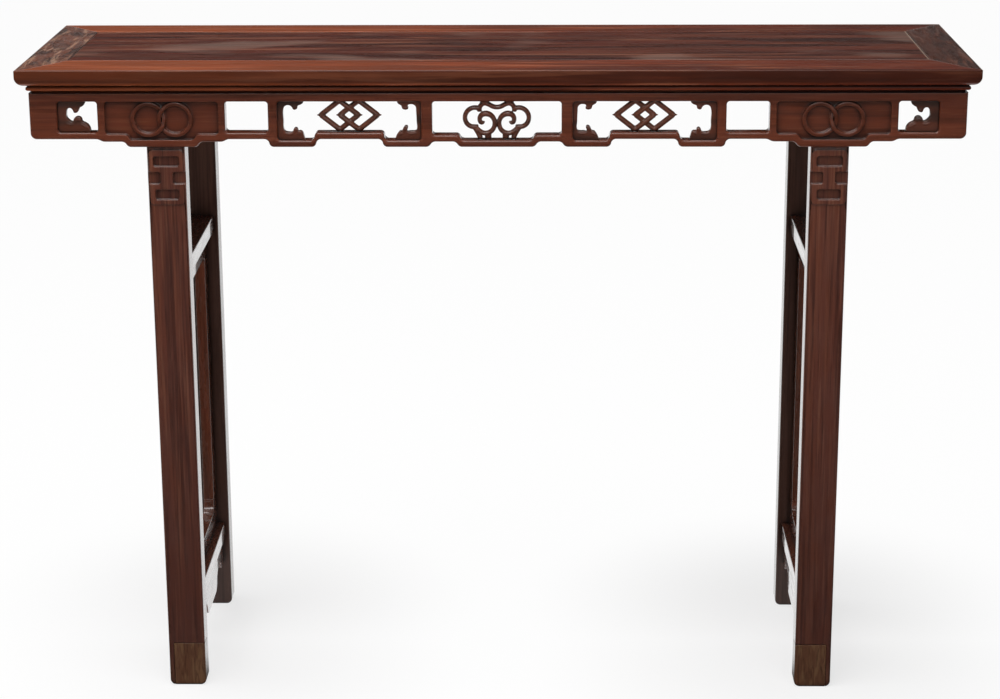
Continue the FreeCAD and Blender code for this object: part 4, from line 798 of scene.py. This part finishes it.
@dataclass
class CloudHead:
    """The cloud in the middle bay: lobes, hooked scrolls and a garland, all of one strap."""

    blank: CarvingBlank = CarvingBlank(voxel_mm=0.6, rubbings=2)
    strap_mm: float = 6.6
    neck_mm: float = 12.5
    foot_mm: float = 7.0
    toe_mm: float = 9.0
    lobe: tuple[tuple[float, ...], ...] = (
        (-21, 815.5), (-26, 817), (-33, 816.6), (-39.5, 812), (-42.3, 804), (-40, 796),
        (-34, 791.6), (-28, 791.4, -0.8), (-24.5, 791, -1.4))
    scroll: tuple[tuple[float, ...], ...] = (
        (-16.6, 799.2, 0.6, 0.42), (-18, 796.6, 0.6, 0.7), (-21.3, 797.2, 0.6, 0.95),
        (-23, 802, 0.6), (-20.6, 807.6, 0.6, 1.1), (-14, 809.6, 0.6, 1.25), (-7.2, 807, 0.4, 1.1),
        (-3.2, 801, 0.2), (-2.6, 794.6, 0.4), (-5, 787.6, 0.6), (-11, 783.4, 0.6),
        (-17.5, 783, 0.6), (-23.4, 786.4, 0.6), (-25.6, 791.5, 0.6, 0.5))
    garland: tuple[tuple[float, ...], ...] = (
        (-22.8, 812, -0.6), (-23, 818), (-17.5, 823.2), (-10.5, 821.4), (-5.5, 818.2), (0, 817.2),
        (5.5, 818.2), (10.5, 821.4), (17.5, 823.2), (23, 818), (22.8, 812, -0.6))
    neck: tuple[tuple[float, ...], ...] = ((-16, 821), (-16, 828.4))
    foot: tuple[tuple[float, ...], ...] = (
        (-28.5, 789.5, -0.8), (-24, 783.5, -0.8), (-21.5, 776.5, -0.8))
    toe: tuple[tuple[float, ...], ...] = ((-11.5, 783.5, -0.8), (-11.5, 776.5, -0.8))

    def build(self) -> None:
        """Make the cloud of each long side."""
        for side in Side:
            shape = bmesh.new()
            for way in (1, -1):
                for line, width in (
                        (self.lobe, self.strap_mm), (self.scroll, self.strap_mm),
                        (self.neck, self.neck_mm), (self.foot, self.foot_mm),
                        (self.toe, self.toe_mm)):
                    self.blank.strap(shape, [(x * way, *rest) for x, *rest in line], width)
            self.blank.strap(shape, list(self.garland), self.strap_mm)
            self.blank.let_in(shape, f"cloud_insert_{side.name.lower()}", side, INSERT_WOOD)


@dataclass
class InterlacedLozenges:
    """Two lozenges in each long bay that pass over and under each other."""

    blank: CarvingBlank = CarvingBlank()
    strap_mm: float = 7.4
    tip_reach: float = 5.6
    tip_overlap: float = 2.0
    tip_lift_share: float = 0.3
    middle_x: float = -192.7
    middle_z: float = 807.3
    offset: float = 12.5
    half_length: float = 24.6
    half_height: float = 19.2
    lift: float = 1.1

    def build(self) -> None:
        """Make the lozenges of both bays on both long sides."""
        for side in Side:
            for word, mirrored in ENDS:
                shape = bmesh.new()
                for step in (-1, 1):
                    for way in (-1, 1):
                        self.corner(shape, step, way)
                self.blank.let_in(shape, f"lozenge_insert_{side.name.lower()}_{word}", side,
                                  INSERT_WOOD, mirrored)

    def corner(self, shape: bmesh.types.BMesh, step: int, way: int) -> None:
        """Add the two sides and the point at one end of a lozenge.

        Args:
            shape: The pair's rough mesh, in mm.
            step: Which lozenge: -1 left, 1 right.
            way: Which end of it: -1 left, 1 right.
        """
        x = self.middle_x + step * self.offset
        tip_x = x + way * self.half_length
        where = self.offset / self.half_length
        for rise in (-1, 1):
            # A side lies on top or below only where it crosses the other lozenge.
            lift = -self.lift * step * rise if way == -step else 0.0
            peak_z = self.middle_z + rise * self.half_height
            middle = (tip_x + (x - tip_x) * where,
                      self.middle_z + (peak_z - self.middle_z) * where)
            self.blank.strap(
                shape, [(tip_x, self.middle_z, lift * self.tip_lift_share), (*middle, lift),
                        (x, peak_z, 0.0)],
                self.strap_mm, smooth=False)
        self.blank.strap(
            shape, [(tip_x - way * self.tip_overlap, self.middle_z, 0.0, 0.95),
                    (tip_x + way * self.tip_reach, self.middle_z, 0.0, 0.12)],
            self.strap_mm, smooth=False)


@dataclass
class LeafBrackets:
    """Brackets along the sides of the bays, with hooked leaves on their arms."""

    blank: CarvingBlank = CarvingBlank()
    slim: CarvingBlank = CarvingBlank(thick_mm=2.4)
    outlines: dict[str, tuple[tuple[float, ...], ...]] = field(default_factory=lambda: {
        "outer_scroll": (
            (-287, 826.8, 1), (-251.8, 826.8, 1), (-252.6, 824), (-256, 821.5), (-259.8, 819.8),
            (-260.2, 817), (-262.5, 815), (-265.6, 815.2), (-267, 817.8), (-269.5, 820.2),
            (-273, 820.9), (-276.6, 819.5), (-278.4, 816), (-278.6, 800), (-278.2, 789),
            (-276.5, 786.2), (-273, 785.2), (-268.5, 785.2), (-266.3, 787), (-265.6, 789.8),
            (-262.8, 791), (-260.2, 789.2), (-259.6, 786.8), (-256.8, 786.9), (-253.8, 784.8),
            (-252.3, 781), (-251, 776, 1), (-251, 774.4, 1), (-287, 774.4, 1)),
        "inner_scroll": (
            (-130.4, 826.8, 1), (-129.6, 824), (-127.3, 821.8), (-124.6, 820.3), (-124, 818),
            (-122.8, 815.8), (-120, 814.8), (-117.3, 815), (-115.3, 816.6), (-116.2, 819),
            (-115.8, 821), (-112.5, 822), (-108, 821.2), (-105.8, 818.8), (-105.3, 814),
            (-104.8, 800), (-104.6, 789), (-105.8, 787.2), (-109, 786.6), (-114, 786.5),
            (-116.8, 786.2), (-117, 788.5), (-115.9, 791.4), (-117.2, 793.3), (-119.8, 793.3),
            (-122.2, 790.8), (-124.2, 786.9), (-126.8, 786.4), (-129, 784.3), (-131.5, 780.5),
            (-133, 776, 1), (-133, 774.4, 1), (-98.4, 774.4, 1), (-98.4, 826.8, 1)),
        "end_scroll": (
            (-574.6, 826.8, 1), (-537.2, 826.8, 1), (-537.8, 824), (-539, 821.6), (-542, 819.3),
            (-545, 817.4), (-546.3, 814), (-549, 811.2), (-552.6, 811.2), (-553.6, 813.5),
            (-555, 816), (-557.8, 817.4), (-561, 815.8), (-562.2, 812), (-562.2, 804.5),
            (-560, 801.8), (-557, 799.6), (-554.2, 799.6), (-553.6, 802.2), (-551.5, 805),
            (-548, 805.9), (-544.6, 804.6), (-542.9, 801.6), (-542.3, 799.4), (-539, 797.8),
            (-535.6, 795.4), (-533.4, 792.4), (-532.2, 789), (-531.5, 785, 1), (-574.6, 784.8, 1)),
    })
    # Soft ridges on the leaves, each a line of x, z and how far it stands forward.
    ridges: dict[str, tuple[tuple[tuple[float, ...], ...], ...]] = field(default_factory=lambda: {
        "outer_scroll": (
            ((-276, 783.2, 3.9), (-271, 781.6, 4.0), (-267, 783.4, 3.9)),
            ((-263, 787.6, 4.0), (-262.4, 789, 4.0)), ((-260, 782.8, 3.9), (-256, 784.4, 4.0)),
            ((-264, 817, 3.9), (-263, 819.5, 3.8))),
        "inner_scroll": (
            ((-115, 783.4, 3.9), (-110, 782.2, 4.0), (-106, 784, 3.9)),
            ((-119.4, 788, 4.0), (-118.2, 791, 4.0)), ((-129, 781.6, 3.9), (-124, 783.8, 4.0)),
            ((-120.5, 817, 3.9), (-118, 817.4, 3.8))),
        "end_scroll": (
            ((-562, 797, 3.9), (-558, 794, 4.1), (-554, 795.6, 3.9)),
            ((-551.5, 800.5, 4.1), (-548.5, 803, 4.2), (-545.6, 801, 4.0)),
            ((-544, 795.6, 3.9), (-539.6, 793.6, 4.0), (-536.5, 791.4, 3.9)),
            ((-551, 813.4, 4.0), (-549, 814.4, 4.0))),
    })

    def build(self) -> None:
        """Make the brackets of all bays on both long sides."""
        for side in Side:
            for word, mirrored in ENDS:
                for kind, outline in self.outlines.items():
                    shape = bmesh.new()
                    self.blank.leaf(shape, [(x, z, bool(sharp)) for x, z, *sharp in outline])
                    for ridge in self.ridges[kind]:
                        self.slim.strap(shape, list(ridge), self.slim.thick_mm)
                    self.blank.let_in(shape, f"{kind}_{side.name.lower()}_{word}", side,
                                      BRACKET_WOOD, mirrored)


@dataclass
class OpenworkAprons:
    """The carved aprons under the long sides and the short ones under the ends."""

    carved: EasedEdges = EasedEdges(1.0, front_only=True)
    plain: EasedEdges = EasedEdges(0.8)
    bands: SunkBands = SunkBands()

    def build(self) -> None:
        """Ease the aprons, with the flat ring bands planed down for the rounded rings."""
        self.carved.dress(names_with("apron_"), APRON_WOOD, Grain.ALONG_X, self.bands)
        self.plain.dress(names_with("end_apron"), REAR_WOOD, Grain.ALONG_Y)


@dataclass
class SideFrames:
    """Stretchers, liner frames and carved aprons between front and back legs."""

    edges: EasedEdges = EasedEdges(0.6)

    def build(self) -> None:
        """Give the side frames their woods."""
        self.edges.dress(names_with("upper_stretcher", "lower_stretcher"),
                         FRAME_WOOD, Grain.ALONG_Y)
        self.edges.dress(names_with("liner_top", "liner_bottom", "carved_side_apron"),
                         FRAME_WOOD, Grain.ALONG_Y)
        self.edges.dress(names_with("liner_front", "liner_back"), FRAME_WOOD, Grain.ALONG_Z)


@dataclass
class Studio:
    """A pale floor under soft lamps, with a dim room above it."""

    floor_reach: float = 40.0
    foot: tuple[float, float, float] = (0.434, 0.15, 0.0)
    foot_reach: float = 0.03
    shadow_reach: float = 0.42
    near_glow_share: float = 0.72
    far_glow_share: float = 0.97
    mirrored_from: tuple[float, float] = (-0.16, -0.04)
    room_light: float = 0.03
    horizon: tuple[float, float] = (0.02, 0.13)
    aim: tuple[float, float, float] = (0.0, 0.0, 0.5)
    lamps: tuple[tuple[str, tuple[float, float, float], tuple[float, float], float], ...] = (
        ("overhead_lamp", (-0.6, -0.5, 3.1), (3.2, 2.2), 120.0),
        ("front_lamp", (0.6, -4.2, 2.6), (3.0, 2.0), 20.0),
    )

    def floor_material(self) -> bpy.types.Material:
        """Matt white paper: plain white to the eye, with a soft shadow around the feet.

        To mirror rays the paper is white behind the front legs and black before them, so the
        fronts stay dark and the inner faces catch a bright line.

        Returns:
            The material of the floor.
        """
        made = bpy.data.materials.new("matt_white_paper")
        made.use_nodes = True
        tree = made.node_tree
        tree.nodes.clear()
        place = add_node(tree, "ShaderNodeTexCoord", {}, "Object")
        quarter = add_node(tree, "ShaderNodeVectorMath", {"operation": "ABSOLUTE", 0: place})
        reach = add_node(tree, "ShaderNodeVectorMath", {
            "operation": "DISTANCE", 0: quarter, 1: self.foot}, "Value")
        near = add_node(tree, "ShaderNodeMapRange", {
            "interpolation_type": "SMOOTHSTEP", 0: reach, 1: self.foot_reach, 2: self.shadow_reach,
            3: self.near_glow_share, 4: self.far_glow_share})
        depth = add_node(tree, "ShaderNodeSeparateXYZ", {0: place}, 1)
        lit_side = add_node(tree, "ShaderNodeMapRange", {
            "interpolation_type": "SMOOTHSTEP", 0: depth, 1: self.mirrored_from[0],
            2: self.mirrored_from[1]})
        eye = add_node(tree, "ShaderNodeLightPath", {}, "Is Camera Ray")
        mirror = add_node(tree, "ShaderNodeLightPath", {}, "Is Glossy Ray")
        clear = add_node(tree, "ShaderNodeLightPath", {}, "Is Transmission Ray")
        seen = add_node(tree, "ShaderNodeMath", {"operation": "MULTIPLY", 0: eye, 1: near})
        passed = add_node(tree, "ShaderNodeMath", {"operation": "MAXIMUM", 0: mirror, 1: clear})
        mirrored = add_node(tree, "ShaderNodeMath", {
            "operation": "MULTIPLY", 0: passed, 1: lit_side})
        level = add_node(tree, "ShaderNodeMath", {"operation": "ADD", 0: seen, 1: mirrored})
        paper = add_node(tree, "ShaderNodeBsdfDiffuse", {"Color": linear("#fbfbfb")})
        unlit = add_node(tree, "ShaderNodeBsdfDiffuse", {"Color": (0, 0, 0, 1)})
        glow = add_node(tree, "ShaderNodeEmission", {"Color": (1, 1, 1, 1), "Strength": 1.0})
        kept = add_node(tree, "ShaderNodeMixShader", {0: passed, 1: paper, 2: unlit})
        whole = add_node(tree, "ShaderNodeMixShader", {0: level, 1: kept, 2: glow})
        add_node(tree, "ShaderNodeOutputMaterial", {"Surface": whole})
        return made

    def build_floor(self) -> None:
        """Lay the floor."""
        sheet = bmesh.new()
        bmesh.ops.create_grid(sheet, x_segments=1, y_segments=1, size=self.floor_reach)
        mesh = bpy.data.meshes.new("studio_floor")
        sheet.to_mesh(mesh)
        sheet.free()
        mesh.materials.append(self.floor_material())
        floor = bpy.data.objects.new("studio_floor", mesh)
        bpy.context.scene.collection.objects.link(floor)

    def build_room(self) -> None:
        """A world that is white at the height of the floor's far edge and dim above it."""
        world = bpy.data.worlds.new("studio_room")
        bpy.context.scene.world = world
        world.use_nodes = True
        tree = world.node_tree
        tree.nodes.clear()
        way = add_node(tree, "ShaderNodeTexCoord", {}, "Generated")
        height = add_node(tree, "ShaderNodeSeparateXYZ", {0: way}, 2)
        dim = add_node(tree, "ShaderNodeMapRange", {
            "interpolation_type": "SMOOTHSTEP", 0: height, 1: self.horizon[0],
            2: self.horizon[1], 3: 1.0, 4: self.room_light})
        light = add_node(tree, "ShaderNodeBackground", {"Color": (1, 1, 1, 1), "Strength": dim})
        add_node(tree, "ShaderNodeOutputWorld", {"Surface": light})

    def build_lamps(self) -> None:
        """Hang the soft lamps, all turned towards the table."""
        target = Vector(self.aim)
        for name, spot, size, power in self.lamps:
            data = bpy.data.lights.new(name, "AREA")
            data.shape = "RECTANGLE"
            data.size, data.size_y = size
            data.energy = power
            lamp = bpy.data.objects.new(name, data)
            lamp.location = spot
            lamp.rotation_mode = "QUATERNION"
            lamp.rotation_quaternion = (target - Vector(spot)).to_track_quat("-Z", "Y")
            bpy.context.scene.collection.objects.link(lamp)

    def build(self) -> None:
        """Make the floor, the room and the lamps."""
        self.build_floor()
        self.build_room()
        self.build_lamps()
        bpy.context.scene.view_settings.view_transform = "Standard"


@dataclass
class TableCamera:
    """The camera at the photograph's place, tilted down at the table."""

    place: tuple[float, float, float] = (0.06287, -3.36534, 1.43644)
    pitch: float = 0.28779
    yaw: float = -0.01879
    roll: float = -0.0044
    lens: float = 89.73
    sensor_width: float = 36.0

    def build(self) -> None:
        """Make the camera and hand it to the scene."""
        cos_p, sin_p = math.cos(self.pitch), math.sin(self.pitch)
        cos_y, sin_y = math.cos(self.yaw), math.sin(self.yaw)
        right = Vector((cos_y, -sin_y, 0))
        ahead = Vector((sin_y * cos_p, cos_y * cos_p, -sin_p))
        up = Vector((sin_y * sin_p, cos_y * sin_p, cos_p))
        cos_r, sin_r = math.cos(self.roll), math.sin(self.roll)
        across = right * cos_r + up * sin_r
        rise = up * cos_r - right * sin_r
        turn = Matrix((across, rise, -ahead)).transposed()
        data = bpy.data.cameras.new("table_camera")
        data.lens = self.lens
        data.sensor_width = self.sensor_width
        camera = bpy.data.objects.new("table_camera", data)
        camera.matrix_world = Matrix.Translation(self.place) @ turn.to_4x4()
        bpy.context.scene.collection.objects.link(camera)
        bpy.context.scene.camera = camera


def main() -> None:
    """Build the camera, the studio and every part of the table in order."""
    logging.basicConfig(level=logging.INFO)
    TableCamera().build()
    Studio().build()
    for part in (MouldedTop(), RecessedLegs(), OpenworkAprons(), LinkedRings(), CloudHead(),
                 InterlacedLozenges(), LeafBrackets(), SideFrames()):
        part.build()
        LOG.info("finished %s", type(part).__name__)


if __name__ == "__main__":
    main()
